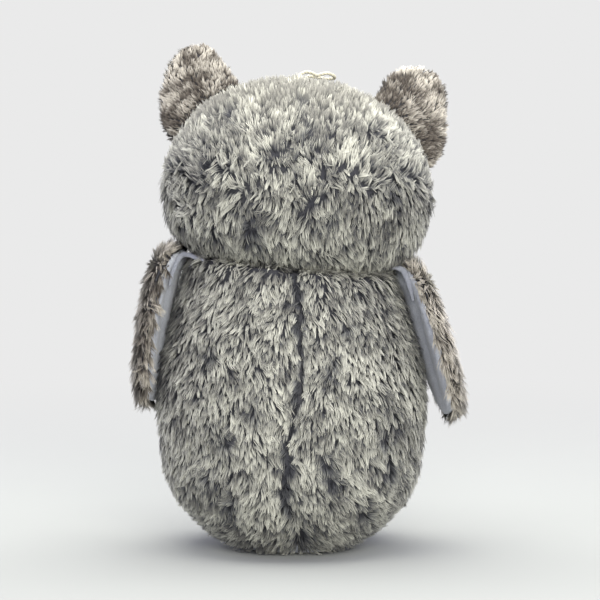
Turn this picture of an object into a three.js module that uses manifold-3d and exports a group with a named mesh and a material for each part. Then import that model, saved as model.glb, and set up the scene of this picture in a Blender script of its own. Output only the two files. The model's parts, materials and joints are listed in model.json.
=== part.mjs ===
// A seated plush owl, sewn from long-pile fabric over loose stuffing.
// Millimetres, +Z up, the owl faces -Y and its left side is +X. The origin is the middle of its base.

import * as THREE from "three";
import { mergeVertices } from "three/addons/utils/BufferGeometryUtils.js";
import Module from "manifold-3d";

const wasm = await Module();
wasm.setup();

// Driving dimensions: the surface is the middle of the brushed pile
const bodyHalfWidth = 79.5;
const bodyHalfDepth = 68;
const neckHeight = 171;
const neckHalfWidth = 58.5;
const headHalfWidth = 80.5;
const headHalfDepth = 68;
const headHeight = 107.5;
const headTiltDegrees = 6;
const headOffset = 1.2;

// Fabrics and clearances
const longPile = 6;
const shortPile = 2.6;
const seatGap = 0.3;
const sweepGap = 0.45;
const overrun = 12;
const weldDistance = 0.0001;

// Body: radius share of the half width against height share of the neck height
const bodyProfileShares = [
  [0.4, 0], [0.57, 0.038], [0.72, 0.1], [0.86, 0.17], [0.945, 0.25], [0.98, 0.363],
  [1, 0.474], [0.985, 0.585], [0.925, 0.725], [0.836, 0.865], [0.782, 0.953],
];
const bodyRings = 13;
const bodySegments = 28;
const baseCut = 0.5;
const basePanelHalfWidth = 38;
const backSeamDepth = 4.2;
const backSeamReach = 7;
const sideSeamY = -30;
const sideSeamDepth = 2;
const sideSeamReach = 8;
const bellyForward = 4;
const backCrowdShare = 0.42;

// Head: radius share of the half width against height share of the head height
const headProfileShares = [
  [0.88, 0.084], [0.945, 0.167], [0.985, 0.29], [1, 0.41], [0.968, 0.52], [0.92, 0.614],
  [0.86, 0.7], [0.764, 0.79], [0.62, 0.874], [0.42, 0.94], [0.21, 0.985], [0, 1],
];
const headRings = 12;
const headSegments = 28;
const headSeamDepth = 2.6;
const earSeamY = -10;
const earSeamDepth = 1.6;
const faceFlatShare = 0.9;

// Pellet pouch in the base, which keeps the owl upright
const pouchRadius = 33;
const pouchHeight = 26;
const pouchBulge = 4;
const pouchSegments = 20;

// Ears: half width share against height share, from the hidden root to the tip
const earProfileShares = [
  [0, 0], [0.6, 0.03], [0.88, 0.16], [1, 0.34], [1, 0.46], [0.96, 0.6],
  [0.87, 0.74], [0.69, 0.87], [0.4, 0.965], [0, 1],
];
const earHalfWidth = 24.5;
const earHalfDepth = 7;
const earAboveSeam = 37.5;
const earBelowSeam = 24;
const earSeamX = 62;
const earSeamOffset = -7;
const earSeamSlopeDegrees = 39;
const earLeanDegrees = { left: 3, right: 2 };
const earRangeDegrees = 20;
const earSweepSteps = 4;
const earRings = 8;
const earSegments = 14;
const earLiningMargin = 2.4;

// Wings: half width share against length share, from the shoulder seam to the tip
const wingProfileShares = [
  [0, 0], [0.56, 0.012], [0.8, 0.06], [0.93, 0.2], [1, 0.38], [1, 0.54],
  [0.93, 0.72], [0.74, 0.88], [0.42, 0.97], [0, 1],
];
const wingLength = 96;
const wingAboveHinge = 6;
const wingHalfWidth = 31;
const wingHalfDepth = 8;
const wingOutset = 1.5;
const wingBow = { left: 5, right: 1.5 };
const wingBowShare = 0.62;
const shoulderInset = 12.5;
const shoulderX = bodyHalfWidth - shoulderInset;
const shoulderDrop = { left: 5, right: 1 };
const shoulderY = 2;
const wingHangDegrees = { left: 11.5, right: 18 };
const wingYawDegrees = { left: 8, right: 12 };
const wingRangeDegrees = 75;
const wingSweepSteps = 5;
const wingRings = 9;
const wingSegments = 16;
const wingWaddingHalfDepth = 1.8;
const wingWaddingMargin = 5;
const wingSplitOffset = 2.6;

// Face discs, eyes and beak
const discHalfWidth = 25.5;
const discHalfHeight = 28;
const discRise = 5;
const discSink = 4;
const discX = 27.5;
const discHeight = 51;
const discSegments = 20;
const eyeRadius = 9;
const eyeRise = 5.5;
const eyeRim = 1.4;
const eyeSink = 2;
const eyeSeat = discRise - eyeSink;
const domeRings = 5;
const eyeX = 24;
const eyeHeight = 51;
const eyeSegments = 16;
const shankRadius = 2.3;
const shankLength = 15;
const shankClearance = 0.25;
const washerRadius = 8.5;
const washerThickness = 1.6;
const washerSag = washerRadius ** 2 / headHalfDepth;
const faceProbe = 0.5;
const beakHalfWidth = 8;
const beakHalfDepth = 7;
const beakHeight = 21;
const beakTop = 47;
const beakProfileShares = [
  [0, 0], [0.22, 0.02], [0.5, 0.2], [0.8, 0.5], [1, 0.78], [0.8, 0.95], [0, 1],
];
const beakHookDegrees = 14;
const beakRings = 8;
const beakSegments = 14;

// Feet: half width share against length share, from the heel to the toes
const footProfileShares = [
  [0, 0], [0.55, 0.02], [0.8, 0.2], [0.92, 0.45], [1, 0.7], [0.82, 0.92], [0, 1],
];
const footHalfWidth = 18;
const footHalfHeight = 8.5;
const footLength = 46;
const footX = 25;
const footReach = 29;
const footSplayDegrees = 9;
const footLift = 0.6;
const footFillGap = 0.6;
const toeDepthShare = 0.1;
const toeCount = 3;
const footRings = 7;
const footSegments = 16;

// Hang loop on the crown: the route of its cord in the head's frame
const loopRadius = 1.1;
const loopSides = 8;
const loopStepLength = 3.2;
const loopRoute = [
  [4.2, 10.6, 101.6], [5.2, 9.5, 104.6], [6, 8.2, 107.3], [5, 5.6, 109.6], [2, 3, 111.2],
  [-1.4, 1.4, 111], [-4.2, 0.2, 110], [-7.2, -0.9, 111], [-10.8, -2.2, 111.9],
  [-14.2, -4.8, 110.9], [-14.8, -9, 109.6], [-11.6, -12.2, 108.9], [-6.4, -13, 108.9],
  [-1.4, -11.6, 109.2], [1.4, -9, 108.4], [2.2, -6.8, 105.6], [2, -5.8, 102.2],
];

// Finishes
const furGrey = { color: 0x8f8a84, roughness: 0.95, metalness: 0 };
const velboaGrey = { color: 0xa3a8b6, roughness: 0.85, metalness: 0 };
const creamPlush = { color: 0xd9d2c5, roughness: 0.92, metalness: 0 };
const fillWhite = { color: 0xf1f0ec, roughness: 1, metalness: 0 };
const pelletCloth = { color: 0xdcdad2, roughness: 0.8, metalness: 0 };
const eyeBlack = { color: 0x14110f, roughness: 0.12, metalness: 0 };
const washerWhite = { color: 0xe6e4de, roughness: 0.5, metalness: 0 };
const beakFelt = { color: 0x6d6257, roughness: 0.9, metalness: 0 };
const cordCream = { color: 0xefecdd, roughness: 0.8, metalness: 0 };

const xAxis = new THREE.Vector3(1, 0, 0);
const yAxis = new THREE.Vector3(0, 1, 0);
const zAxis = new THREE.Vector3(0, 0, 1);
const radians = THREE.MathUtils.degToRad;
const sides = { left: 1, right: -1 };

// A closed solid: shared corners are merged, faces that shrink to a line are left out, and the
// rest are turned to face outwards
function solidOf(geometry) {
  const bare = geometry.clone();
  bare.deleteAttribute("normal");
  bare.deleteAttribute("uv");
  const merged = mergeVertices(bare, weldDistance);
  const corners = merged.index.array;
  const place = (i) => new THREE.Vector3().fromBufferAttribute(merged.attributes.position, i);
  const triangles = [];
  let volume = 0;
  for (let i = 0; i < corners.length; i += 3) {
    const [a, b, c] = corners.slice(i, i + 3);
    if (a !== b && b !== c && c !== a) {
      triangles.push(a, b, c);
      volume += place(a).dot(place(b).cross(place(c)));
    }
  }
  if (volume < 0) {
    triangles.reverse();
  }
  const vertProperties = new Float32Array(merged.attributes.position.array);
  const triVerts = new Uint32Array(triangles);
  return new wasm.Manifold(new wasm.Mesh({ numProp: 3, vertProperties, triVerts }));
}

// A named mesh of a solid
function pieceOf(name, solid, finish) {
  const { vertProperties, triVerts, numProp } = solid.getMesh();
  const positions = [];
  for (let i = 0; i < vertProperties.length; i += numProp) {
    positions.push(vertProperties[i], vertProperties[i + 1], vertProperties[i + 2]);
  }
  const geometry = new THREE.BufferGeometry();
  geometry.setAttribute("position", new THREE.Float32BufferAttribute(positions, 3));
  geometry.setIndex(Array.from(triVerts));
  geometry.computeVertexNormals();
  const mesh = new THREE.Mesh(geometry, new THREE.MeshStandardMaterial(finish));
  mesh.name = name;
  return mesh;
}

function moved(solid, matrix) {
  return solid.transform(matrix.elements);
}

function turned(solid, axis, angle) {
  return moved(solid, new THREE.Matrix4().makeRotationAxis(axis, angle));
}

function shifted(solid, x, y, z) {
  return moved(solid, new THREE.Matrix4().makeTranslation(x, y, z));
}

// A solid of one group, seen from another group
function seenFrom(group, solid, home) {
  const matrix = group.matrixWorld.clone().invert();
  return moved(solid, matrix.multiply(home.matrixWorld));
}

function block(low, high) {
  const size = new THREE.Vector3().subVectors(high, low);
  const geometry = new THREE.BoxGeometry(size.x, size.y, size.z);
  geometry.translate((low.x + high.x) / 2, (low.y + high.y) / 2, (low.z + high.z) / 2);
  return solidOf(geometry);
}

function bump(distance, reach) {
  return Math.exp(-((distance / reach) ** 2));
}

// A profile from bottom to top: shares of a radius and a height, rounded by a spline
function profileOf(profileShares, radius, height, rings) {
  const points = profileShares.map(([r, h]) => new THREE.Vector2(r * radius, h * height));
  return new THREE.SplineCurve(points).getPoints(rings).map((p) => {
    p.x = Math.max(p.x, 0);
    return p;
  });
}

// The same profile a given distance further in
function insetProfile(points, inset) {
  return points.map((point, i) => {
    const before = points[Math.max(i - 1, 0)];
    const after = points[Math.min(i + 1, points.length - 1)];
    const along = new THREE.Vector2().subVectors(after, before).normalize();
    if (point.x === 0) {
      along.set(Math.sign(along.x), 0);
    }
    return new THREE.Vector2(Math.max(point.x - along.y * inset, 0), point.y + along.x * inset);
  });
}

// A stuffed form: a lathe about Z whose corners are then drawn to shape.
// The shape gets each corner's radius, its turn from +Y towards +X, and its height.
function stuffedForm(profile, segments, shape) {
  const geometry = new THREE.LatheGeometry(profile, segments);
  const position = geometry.attributes.position;
  for (let i = 0; i < position.count; i += 1) {
    const radius = Math.hypot(position.getX(i), position.getZ(i));
    const turn = Math.atan2(position.getX(i), position.getZ(i));
    const corner = shape(radius, turn, position.getY(i));
    position.setXYZ(i, corner.x, corner.y, corner.z);
  }
  return solidOf(geometry);
}

// Corners crowd towards the back seam, where the form bends most
function crowded(turn) {
  return turn - backCrowdShare * Math.sin(turn);
}

const tiltSlope = Math.tan(radians(headTiltDegrees));

function bodyShape(radius, turn, height) {
  const angle = crowded(turn);
  const widthShare = radius / bodyHalfWidth;
  const corner = new THREE.Vector3(Math.sin(angle) * radius, 0, 0);
  corner.y = (Math.cos(angle) * radius * bodyHalfDepth) / bodyHalfWidth;
  const backShare = Math.max(Math.cos(angle), 0) * widthShare;
  corner.y -= backSeamDepth * backShare * bump(corner.x, backSeamReach);
  const sideShare = Math.abs(Math.sin(angle)) * widthShare;
  const sideDraw = sideSeamDepth * sideShare * bump(corner.y - sideSeamY, sideSeamReach);
  corner.x -= Math.sign(corner.x) * sideDraw;
  const heightShare = Math.min(Math.max(height / neckHeight, 0), 1);
  const bellyShare = widthShare * Math.max(-Math.cos(angle), 0) * Math.sin(Math.PI * heightShare);
  corner.y -= bellyForward * bellyShare;
  corner.z = height + corner.x * tiltSlope * heightShare ** 3;
  return corner;
}

// The body's outer form, or one further in: its neck end is a flat cap, and a liner runs on past it
function bodyForm(inset, pastNeck) {
  const side = profileOf(bodyProfileShares, bodyHalfWidth, neckHeight, bodyRings - 1);
  side.push(new THREE.Vector2(neckHalfWidth, neckHeight));
  const inner = insetProfile([new THREE.Vector2(0, -baseCut), ...side], inset);
  const neck = inner[inner.length - 1];
  neck.x = neckHalfWidth - inset;
  neck.y = neckHeight;
  if (pastNeck > 0) {
    inner.push(new THREE.Vector2(neck.x, neckHeight + pastNeck));
  }
  inner.push(new THREE.Vector2(0, inner[inner.length - 1].y));
  const form = stuffedForm(inner, bodySegments, bodyShape);
  const reach = 2 * bodyHalfWidth;
  const floor = block(
    new THREE.Vector3(-reach, -reach, -reach),
    new THREE.Vector3(reach, reach, inset > 0 ? shortPile + inset - longPile : 0),
  );
  return form.subtract(floor);
}

function headShape(radius, turn, height) {
  const angle = crowded(turn);
  const widthShare = radius / headHalfWidth;
  const corner = new THREE.Vector3(Math.sin(angle) * radius, 0, height);
  const flatShare = THREE.MathUtils.lerp(faceFlatShare, 1, (1 + Math.cos(angle)) / 2);
  corner.y = (Math.cos(angle) * radius * flatShare * headHalfDepth) / headHalfWidth;
  const backShare = Math.max(Math.cos(angle), 0) * widthShare;
  corner.y -= headSeamDepth * backShare * bump(corner.x, backSeamReach);
  const sideShare = Math.abs(Math.sin(angle)) * widthShare;
  const sideDraw = earSeamDepth * sideShare * bump(corner.y - earSeamY, sideSeamReach);
  corner.x -= Math.sign(corner.x) * sideDraw;
  return corner;
}

// The head's outer form, or one further in: it stands on a flat cap at the neck
function headForm(inset, pastNeck) {
  const side = [[neckHalfWidth / headHalfWidth, 0], ...headProfileShares];
  const outer = profileOf(side, headHalfWidth, headHeight, headRings);
  const inner = insetProfile(outer, inset);
  inner[0].set(neckHalfWidth - inset, 0);
  const start = [new THREE.Vector2(0, -pastNeck)];
  if (pastNeck > 0) {
    start.push(new THREE.Vector2(neckHalfWidth - inset, -pastNeck));
  }
  return stuffedForm([...start, ...inner], headSegments, headShape);
}

// The y of the head's face at a place, measured on its outer form
function facePoint(x, height) {
  const outer = profileOf(headProfileShares, headHalfWidth, headHeight, headRings);
  const above = outer.findIndex((p) => p.y >= height);
  const low = outer[above - 1];
  const high = outer[above];
  const share = (height - low.y) / (high.y - low.y);
  const radius = THREE.MathUtils.lerp(low.x, high.x, share);
  const across = Math.sqrt(radius ** 2 - x ** 2);
  return (-across * faceFlatShare * headHalfDepth) / headHalfWidth;
}

// The scene graph's frames: the body's, the head's on the tilted neck, and one for each limb
const owl = new THREE.Group();
const head = new THREE.Group();
head.position.set(headOffset, 0, neckHeight + seatGap);
head.rotation.y = -radians(headTiltDegrees);
owl.add(head);

function earFrame(side) {
  const frame = new THREE.Group();
  const crown = profileOf(headProfileShares, headHalfWidth, headHeight, headRings);
  const above = crown.findIndex((p) => p.y > headHeight / 2 && p.x < earSeamX);
  const share = (crown[above - 1].x - earSeamX) / (crown[above - 1].x - crown[above].x);
  const height = THREE.MathUtils.lerp(crown[above - 1].y, crown[above].y, share);
  frame.position.set(side * earSeamX, earSeamOffset, height);
  head.add(frame);
  return frame;
}

function wingFrame(name, side) {
  const frame = new THREE.Group();
  const neckAtShoulder = neckHeight + side * shoulderX * tiltSlope;
  frame.position.set(side * shoulderX, shoulderY, neckAtShoulder - shoulderDrop[name]);
  frame.rotation.order = "YZX";
  frame.rotation.y = -side * radians(wingHangDegrees[name]);
  frame.rotation.z = -side * radians(wingYawDegrees[name]);
  owl.add(frame);
  return frame;
}

// A foot's frame lies on the floor under the belly: its own +Z runs forwards, from heel to toes
function footFrame(side) {
  const frame = new THREE.Group();
  const front = -(bodyHalfDepth * bodyProfileShares[1][0]);
  frame.position.set(side * footX, front - footReach + footLength / 2, footHalfHeight + footLift);
  frame.rotation.order = "ZXY";
  frame.rotation.z = side * radians(footSplayDegrees);
  frame.rotation.x = Math.PI / 2;
  owl.add(frame);
  return frame;
}

// A frame on the face whose own +Z points out of it and whose +Y points up along it
function faceFrame(x, height) {
  const frame = new THREE.Group();
  const y = facePoint(x, height);
  const acrossSlope = (facePoint(x + faceProbe, height) - y) / faceProbe;
  const upSlope = (facePoint(x, height + faceProbe) - y) / faceProbe;
  const outward = new THREE.Vector3(acrossSlope, -1, upSlope).normalize();
  const right = new THREE.Vector3().crossVectors(zAxis, outward).normalize();
  const up = new THREE.Vector3().crossVectors(outward, right);
  frame.position.set(x, y, height);
  frame.quaternion.setFromRotationMatrix(new THREE.Matrix4().makeBasis(right, up, outward));
  head.add(frame);
  return frame;
}

const frames = {};
for (const [name, side] of Object.entries(sides)) {
  frames[name] = {
    ear: earFrame(side),
    wing: wingFrame(name, side),
    foot: footFrame(side),
    eye: faceFrame(side * eyeX, eyeHeight),
    disc: faceFrame(side * discX, discHeight),
  };
}
owl.updateMatrixWorld(true);

const headOuter = headForm(0, 0);
const bodyOuter = bodyForm(0, 0);
const headClear = headForm(-seatGap, 0);
const bodyClear = bodyForm(-seatGap, 0);

// Everything that a moving piece must miss from one end of its range to the other
function sweptPast(obstacle, axis, fromDegrees, toDegrees, steps) {
  let swept = obstacle;
  for (let i = 0; i <= steps; i += 1) {
    const angle = radians(THREE.MathUtils.lerp(fromDegrees, toDegrees, i / steps));
    swept = swept.add(turned(obstacle, axis, -angle));
  }
  return swept;
}

// A box that keeps one side of a seam plane
function halfSpace(axisName, from, sign) {
  const reach = 4 * bodyHalfWidth;
  const low = new THREE.Vector3(-reach, -reach, -reach);
  const high = new THREE.Vector3(reach, reach, reach);
  (sign > 0 ? low : high)[axisName] = from;
  return block(low, high);
}

// Eye pocket: room behind the face for the shank and its washer
function eyePocket() {
  const shank = new THREE.CylinderGeometry(
    shankRadius + shankClearance,
    shankRadius + shankClearance,
    2 * shankLength,
    eyeSegments,
  );
  shank.rotateX(Math.PI / 2);
  return solidOf(shank);
}

function washerPocket() {
  const room = new THREE.CylinderGeometry(
    washerRadius + seatGap,
    washerRadius + seatGap,
    shankLength + seatGap,
    eyeSegments,
  );
  room.rotateX(Math.PI / 2);
  room.translate(0, 0, -(longPile / 2 + shankLength / 2 + seatGap / 2));
  return solidOf(room);
}

// Body covers: two back panels of long pile, a short-pile belly and a flat base
function addBody() {
  const half = seatGap / 2;
  const liner = bodyForm(longPile, overrun);
  const shell = bodyOuter.subtract(liner);
  const disc = new THREE.CylinderGeometry(
    basePanelHalfWidth,
    basePanelHalfWidth,
    2 * bodyHalfWidth,
    bodySegments,
  );
  disc.rotateX(Math.PI / 2);
  disc.scale(1, bodyHalfDepth / bodyHalfWidth, 1);
  const baseRegion = solidOf(disc).intersect(halfSpace("z", neckHeight / 2, -1));
  const baseHoleScale = new THREE.Matrix4().makeScale(
    1 + seatGap / basePanelHalfWidth,
    1 + seatGap / basePanelHalfWidth,
    1,
  );
  const walls = shell.subtract(moved(baseRegion, baseHoleScale));
  const back = walls.intersect(halfSpace("y", sideSeamY + half, 1));
  const belly = walls.intersect(halfSpace("y", sideSeamY - half, -1));
  owl.add(
    pieceOf("body_back_left_panel", back.intersect(halfSpace("x", half, 1)), furGrey),
    pieceOf("body_back_right_panel", back.intersect(halfSpace("x", -half, -1)), furGrey),
    pieceOf("belly_panel", belly, creamPlush),
    pieceOf("base_panel", shell.intersect(baseRegion), velboaGrey),
  );

  const fill = bodyForm(longPile + seatGap, 0);
  const floor = fill.boundingBox().min[2];
  const pouchProfile = [
    new THREE.Vector2(0, 0),
    new THREE.Vector2(pouchRadius - pouchBulge, 0),
    new THREE.Vector2(pouchRadius, pouchBulge),
    new THREE.Vector2(pouchRadius, pouchHeight - 2 * pouchBulge),
    new THREE.Vector2(pouchRadius - pouchBulge, pouchHeight - pouchBulge / 2),
    new THREE.Vector2(0, pouchHeight),
  ];
  const flatShare = bodyHalfDepth / bodyHalfWidth;
  const flat = (radius, turn, height) =>
    new THREE.Vector3(Math.sin(turn) * radius, Math.cos(turn) * radius * flatShare, height);
  const pouch = stuffedForm(pouchProfile, pouchSegments, flat);
  const room = stuffedForm(insetProfile(pouchProfile, -seatGap), pouchSegments, flat);
  const sunk = room.add(shifted(room, 0, 0, -pouchHeight / 2));
  owl.add(
    pieceOf("body_stuffing", fill.subtract(shifted(sunk, 0, 0, floor)), fillWhite),
    pieceOf("pellet_pouch", shifted(pouch, 0, 0, floor).intersect(fill), pelletCloth),
  );
}

// Head covers: two back panels that meet the face panel in a seam from ear to ear
function addHead() {
  const half = seatGap / 2;
  const shell = headOuter.subtract(headForm(longPile, overrun));
  const back = shell.intersect(halfSpace("y", earSeamY + half, 1));
  let face = shell.intersect(halfSpace("y", earSeamY - half, -1));
  let fill = headForm(longPile + seatGap, 0);
  for (const name of Object.keys(sides)) {
    const eye = frames[name].eye;
    face = face.subtract(seenFrom(head, eyePocket(), eye));
    fill = fill.subtract(seenFrom(head, eyePocket(), eye));
    fill = fill.subtract(seenFrom(head, washerPocket(), eye));
  }
  head.add(
    pieceOf("head_back_left_panel", back.intersect(halfSpace("x", half, 1)), furGrey),
    pieceOf("head_back_right_panel", back.intersect(halfSpace("x", -half, -1)), furGrey),
    pieceOf("face_panel", face, furGrey),
    pieceOf("head_stuffing", fill, fillWhite),
  );
}

// A padded disc of short pile that goes round an eye
function discSolid() {
  const profile = [
    new THREE.Vector2(0, -discSink),
    new THREE.Vector2(discHalfWidth, -discSink),
    new THREE.Vector2(discHalfWidth, 0),
    new THREE.Vector2(discHalfWidth - discRise / 2, discRise / 2),
    new THREE.Vector2(discHalfWidth / 2, discRise),
    new THREE.Vector2(0, discRise),
  ];
  const heightShare = discHalfHeight / discHalfWidth;
  const oval = (radius, turn, height) =>
    new THREE.Vector3(Math.sin(turn) * radius, Math.cos(turn) * radius * heightShare, height);
  return stuffedForm(profile, discSegments, oval);
}

function addFace() {
  for (const name of Object.keys(sides)) {
    const eye = frames[name].eye;
    const dent = new THREE.CylinderGeometry(
      eyeRadius + seatGap,
      eyeRadius + seatGap,
      overrun,
      eyeSegments,
    );
    dent.rotateX(Math.PI / 2);
    dent.translate(0, 0, eyeSeat - seatGap + overrun / 2);
    const disc = seenFrom(head, discSolid(), frames[name].disc)
      .subtract(headClear)
      .subtract(seenFrom(head, eyePocket(), eye))
      .subtract(seenFrom(head, solidOf(dent), eye))
      .subtract(beakForm(-seatGap));
    head.add(pieceOf(`${name}_face_disc`, disc, creamPlush));

    const dome = new THREE.LatheGeometry(
      [
        new THREE.Vector2(0, -shankLength),
        new THREE.Vector2(shankRadius, -shankLength),
        new THREE.Vector2(shankRadius, eyeSeat),
        new THREE.Vector2(eyeRadius - eyeRim / 2, eyeSeat),
        new THREE.Vector2(eyeRadius, eyeSeat + eyeRim),
        ...new THREE.EllipseCurve(0, eyeSeat + eyeRim, eyeRadius, eyeRise, 0, Math.PI / 2)
          .getPoints(domeRings)
          .slice(1, domeRings),
        new THREE.Vector2(0, eyeSeat + eyeRim + eyeRise),
      ],
      eyeSegments,
    );
    dome.rotateX(Math.PI / 2);
    frames[name].eye.add(pieceOf(`${name}_eye`, solidOf(dome), eyeBlack));

    const bore = shankRadius + shankClearance;
    const top = -(longPile + washerSag + seatGap);
    const washer = new THREE.LatheGeometry(
      [
        new THREE.Vector2(bore, top - washerThickness),
        new THREE.Vector2(washerRadius, top - washerThickness),
        new THREE.Vector2(washerRadius, top),
        new THREE.Vector2(bore, top),
        new THREE.Vector2(bore, top - washerThickness),
      ],
      eyeSegments,
    );
    washer.rotateX(Math.PI / 2);
    frames[name].eye.add(pieceOf(`${name}_eye_washer`, solidOf(washer), washerWhite));
  }
}

// A small hooked beak between the discs, or the room that it needs there
function beakForm(inset) {
  const outline = profileOf(beakProfileShares, beakHalfWidth, beakHeight, beakRings);
  const shape = (radius, turn, height) =>
    new THREE.Vector3(
      Math.sin(turn) * radius,
      (Math.cos(turn) * radius * beakHalfDepth) / beakHalfWidth,
      height - beakHeight,
    );
  const form = stuffedForm(insetProfile(outline, inset), beakSegments, shape);
  const hooked = turned(form, xAxis, -radians(beakHookDegrees));
  return shifted(hooked, 0, facePoint(0, beakTop), beakTop);
}

function addBeak() {
  head.add(pieceOf("beak", beakForm(0).subtract(headClear), beakFelt));
}

// An ear: a long-pile back and rim, a short-pile front set into it, and wadding between
function addEar(name, side) {
  const height = earAboveSeam + earBelowSeam;
  const slope = radians(earSeamSlopeDegrees);
  const hinge = new THREE.Vector3(side * Math.cos(slope), 0, -Math.sin(slope));
  const lean = side * radians(earLeanDegrees[name]);
  const earShape = (depth, split) => (radius, turn, z) => {
    const roundShare = Math.sqrt(Math.max(radius / earHalfWidth, 0));
    const y = Math.cos(turn) * depth * roundShare;
    return new THREE.Vector3(Math.sin(turn) * radius, y + split, z - earBelowSeam);
  };
  const outline = profileOf(earProfileShares, earHalfWidth, height, earRings);
  const whole = stuffedForm(outline, earSegments, earShape(earHalfDepth, 0));
  const coreDepth = (2 * earHalfDepth - longPile - shortPile) / 2;
  const coreMiddle = (shortPile - longPile) / 2;
  const room = stuffedForm(
    insetProfile(outline, longPile - seatGap),
    earSegments,
    earShape(coreDepth, coreMiddle),
  );
  const wadding = stuffedForm(
    insetProfile(outline, longPile),
    earSegments,
    earShape(coreDepth - seatGap, coreMiddle),
  );
  const keep = sweptPast(
    seenFrom(frames[name].ear, headForm(-sweepGap, 0), head),
    hinge,
    -earRangeDegrees,
    earRangeDegrees,
    earSweepSteps,
  ).add(seenFrom(frames[name].ear, headClear, head));
  const splitY = coreMiddle - coreDepth / 2;
  const liningOutline = insetProfile(outline, earLiningMargin);
  const liningRegion = stuffedForm(liningOutline, earSegments, (radius, turn, z) => {
    const y = (Math.cos(turn) - 1) * earHalfDepth + splitY;
    return new THREE.Vector3(Math.sin(turn) * radius, y, z - earBelowSeam);
  });
  const leaned = (solid) => turned(solid, yAxis, lean).subtract(keep);
  const liningRoom = liningRegion.add(shifted(liningRegion, 0, seatGap, 0));
  const ear = frames[name].ear;
  ear.add(
    pieceOf(`${name}_ear_back`, leaned(whole.subtract(room).subtract(liningRoom)), furGrey),
    pieceOf(`${name}_ear_front`, leaned(whole.intersect(liningRegion).subtract(room)), velboaGrey),
    pieceOf(`${name}_ear_wadding`, leaned(wadding), fillWhite),
  );
}

// How far a wing bows outwards at a place along it, which is most near the shoulder
function wingBowAt(name, along) {
  const share = Math.max(along / wingLength, 0);
  return wingBow[name] * Math.sin(Math.PI * share ** wingBowShare);
}

// A wing: a long-pile outside, a smooth lining towards the body, and thin wadding between
function addWing(name, side) {
  const wing = frames[name].wing;
  const outline = profileOf(wingProfileShares, wingHalfWidth, wingLength, wingRings);
  const wingShape = (depth, offset) => (radius, turn, along) => {
    const roundShare = Math.sqrt(Math.max(radius / wingHalfWidth, 0));
    const bow = wingBowAt(name, along);
    const x = side * (Math.cos(turn) * depth * roundShare + bow + wingOutset + offset);
    return new THREE.Vector3(x, side * Math.sin(turn) * radius, wingAboveHinge - along);
  };
  const whole = stuffedForm(outline, wingSegments, wingShape(wingHalfDepth, 0));
  const core = (inset, depth) =>
    stuffedForm(insetProfile(outline, inset), wingSegments, wingShape(depth, -wingSplitOffset));
  const room = core(wingWaddingMargin - seatGap, wingWaddingHalfDepth + seatGap);
  const wadding = core(wingWaddingMargin, wingWaddingHalfDepth);
  const splitSheet = (offset) =>
    stuffedForm(insetProfile(outline, -overrun), wingSegments, (radius, turn, along) => {
      const bow = wingBowAt(name, along);
      const inside = (Math.cos(turn) - 1) * wingHalfDepth - wingSplitOffset - offset;
      const x = side * (inside + bow + wingOutset);
      return new THREE.Vector3(x, side * Math.sin(turn) * radius, wingAboveHinge - along);
    });
  const hinge = yAxis.clone().multiplyScalar(-side);
  hinge.applyQuaternion(wing.quaternion.clone().invert());
  const body = seenFrom(wing, bodyForm(-sweepGap, 0), owl);
  const cheek = seenFrom(wing, headForm(-sweepGap, 0), head);
  const keep = sweptPast(body.add(cheek), hinge, 0, wingRangeDegrees, wingSweepSteps);
  const fur = whole.subtract(room).subtract(splitSheet(0)).subtract(keep);
  const lining = whole.subtract(room).intersect(splitSheet(seatGap)).subtract(keep);
  wing.add(
    pieceOf(`${name}_wing_outside`, fur, furGrey),
    pieceOf(`${name}_wing_lining`, lining, velboaGrey),
    pieceOf(`${name}_wing_wadding`, wadding.subtract(keep), fillWhite),
  );
}

// A foot: a flat stuffed paw whose front edge is drawn in between the toes
function addFoot(name) {
  const foot = frames[name].foot;
  const footShape = (inset) => (radius, turn, along) => {
    const share = along / footLength;
    const across = Math.sin(turn) * radius;
    const toes = toeDepthShare * footLength * share ** 4;
    const scallop = toes * Math.sin((Math.PI * toeCount * (across / footHalfWidth + 1)) / 2) ** 2;
    const up = (Math.cos(turn) * (footHalfHeight - inset) * radius) / (footHalfWidth - inset);
    return new THREE.Vector3(across, up, along - footLength / 2 - toes + scallop);
  };
  const outline = profileOf(footProfileShares, footHalfWidth, footLength, footRings);
  const whole = stuffedForm(outline, footSegments, footShape(0));
  const inner = insetProfile(outline, shortPile);
  const room = stuffedForm(inner, footSegments, footShape(shortPile));
  const fill = stuffedForm(
    insetProfile(outline, shortPile + footFillGap),
    footSegments,
    footShape(shortPile + footFillGap),
  );
  const body = seenFrom(foot, bodyClear, owl);
  foot.add(
    pieceOf(`${name}_foot_cover`, whole.subtract(room).subtract(body), velboaGrey),
    pieceOf(`${name}_foot_stuffing`, fill.subtract(body), fillWhite),
  );
}

// Hang loop: one cord, sewn into the crown at both ends
function addHangLoop() {
  const curve = new THREE.CatmullRomCurve3(loopRoute.map((p) => new THREE.Vector3(...p)));
  const section = new THREE.Shape();
  for (let i = 0; i < loopSides; i += 1) {
    const angle = (2 * Math.PI * i) / loopSides;
    const point = [loopRadius * Math.cos(angle), loopRadius * Math.sin(angle)];
    i === 0 ? section.moveTo(...point) : section.lineTo(...point);
  }
  const cord = new THREE.ExtrudeGeometry(section, {
    extrudePath: curve,
    steps: Math.round(curve.getLength() / loopStepLength),
    bevelEnabled: false,
  });
  head.add(pieceOf("hang_loop", solidOf(cord).subtract(headClear), cordCream));
}

addBody();
addHead();
addFace();
addBeak();
addHangLoop();
for (const [name, side] of Object.entries(sides)) {
  addEar(name, side);
  addWing(name, side);
  addFoot(name);
}

export default owl;
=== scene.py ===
"""A seated plush owl from behind: long-pile covers, smooth linings, a cord on the crown."""

import json
import math

import bmesh
import bpy
import numpy as np
from mathutils import Matrix, Vector
from mathutils.bvhtree import BVHTree
from mathutils.kdtree import KDTree


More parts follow.
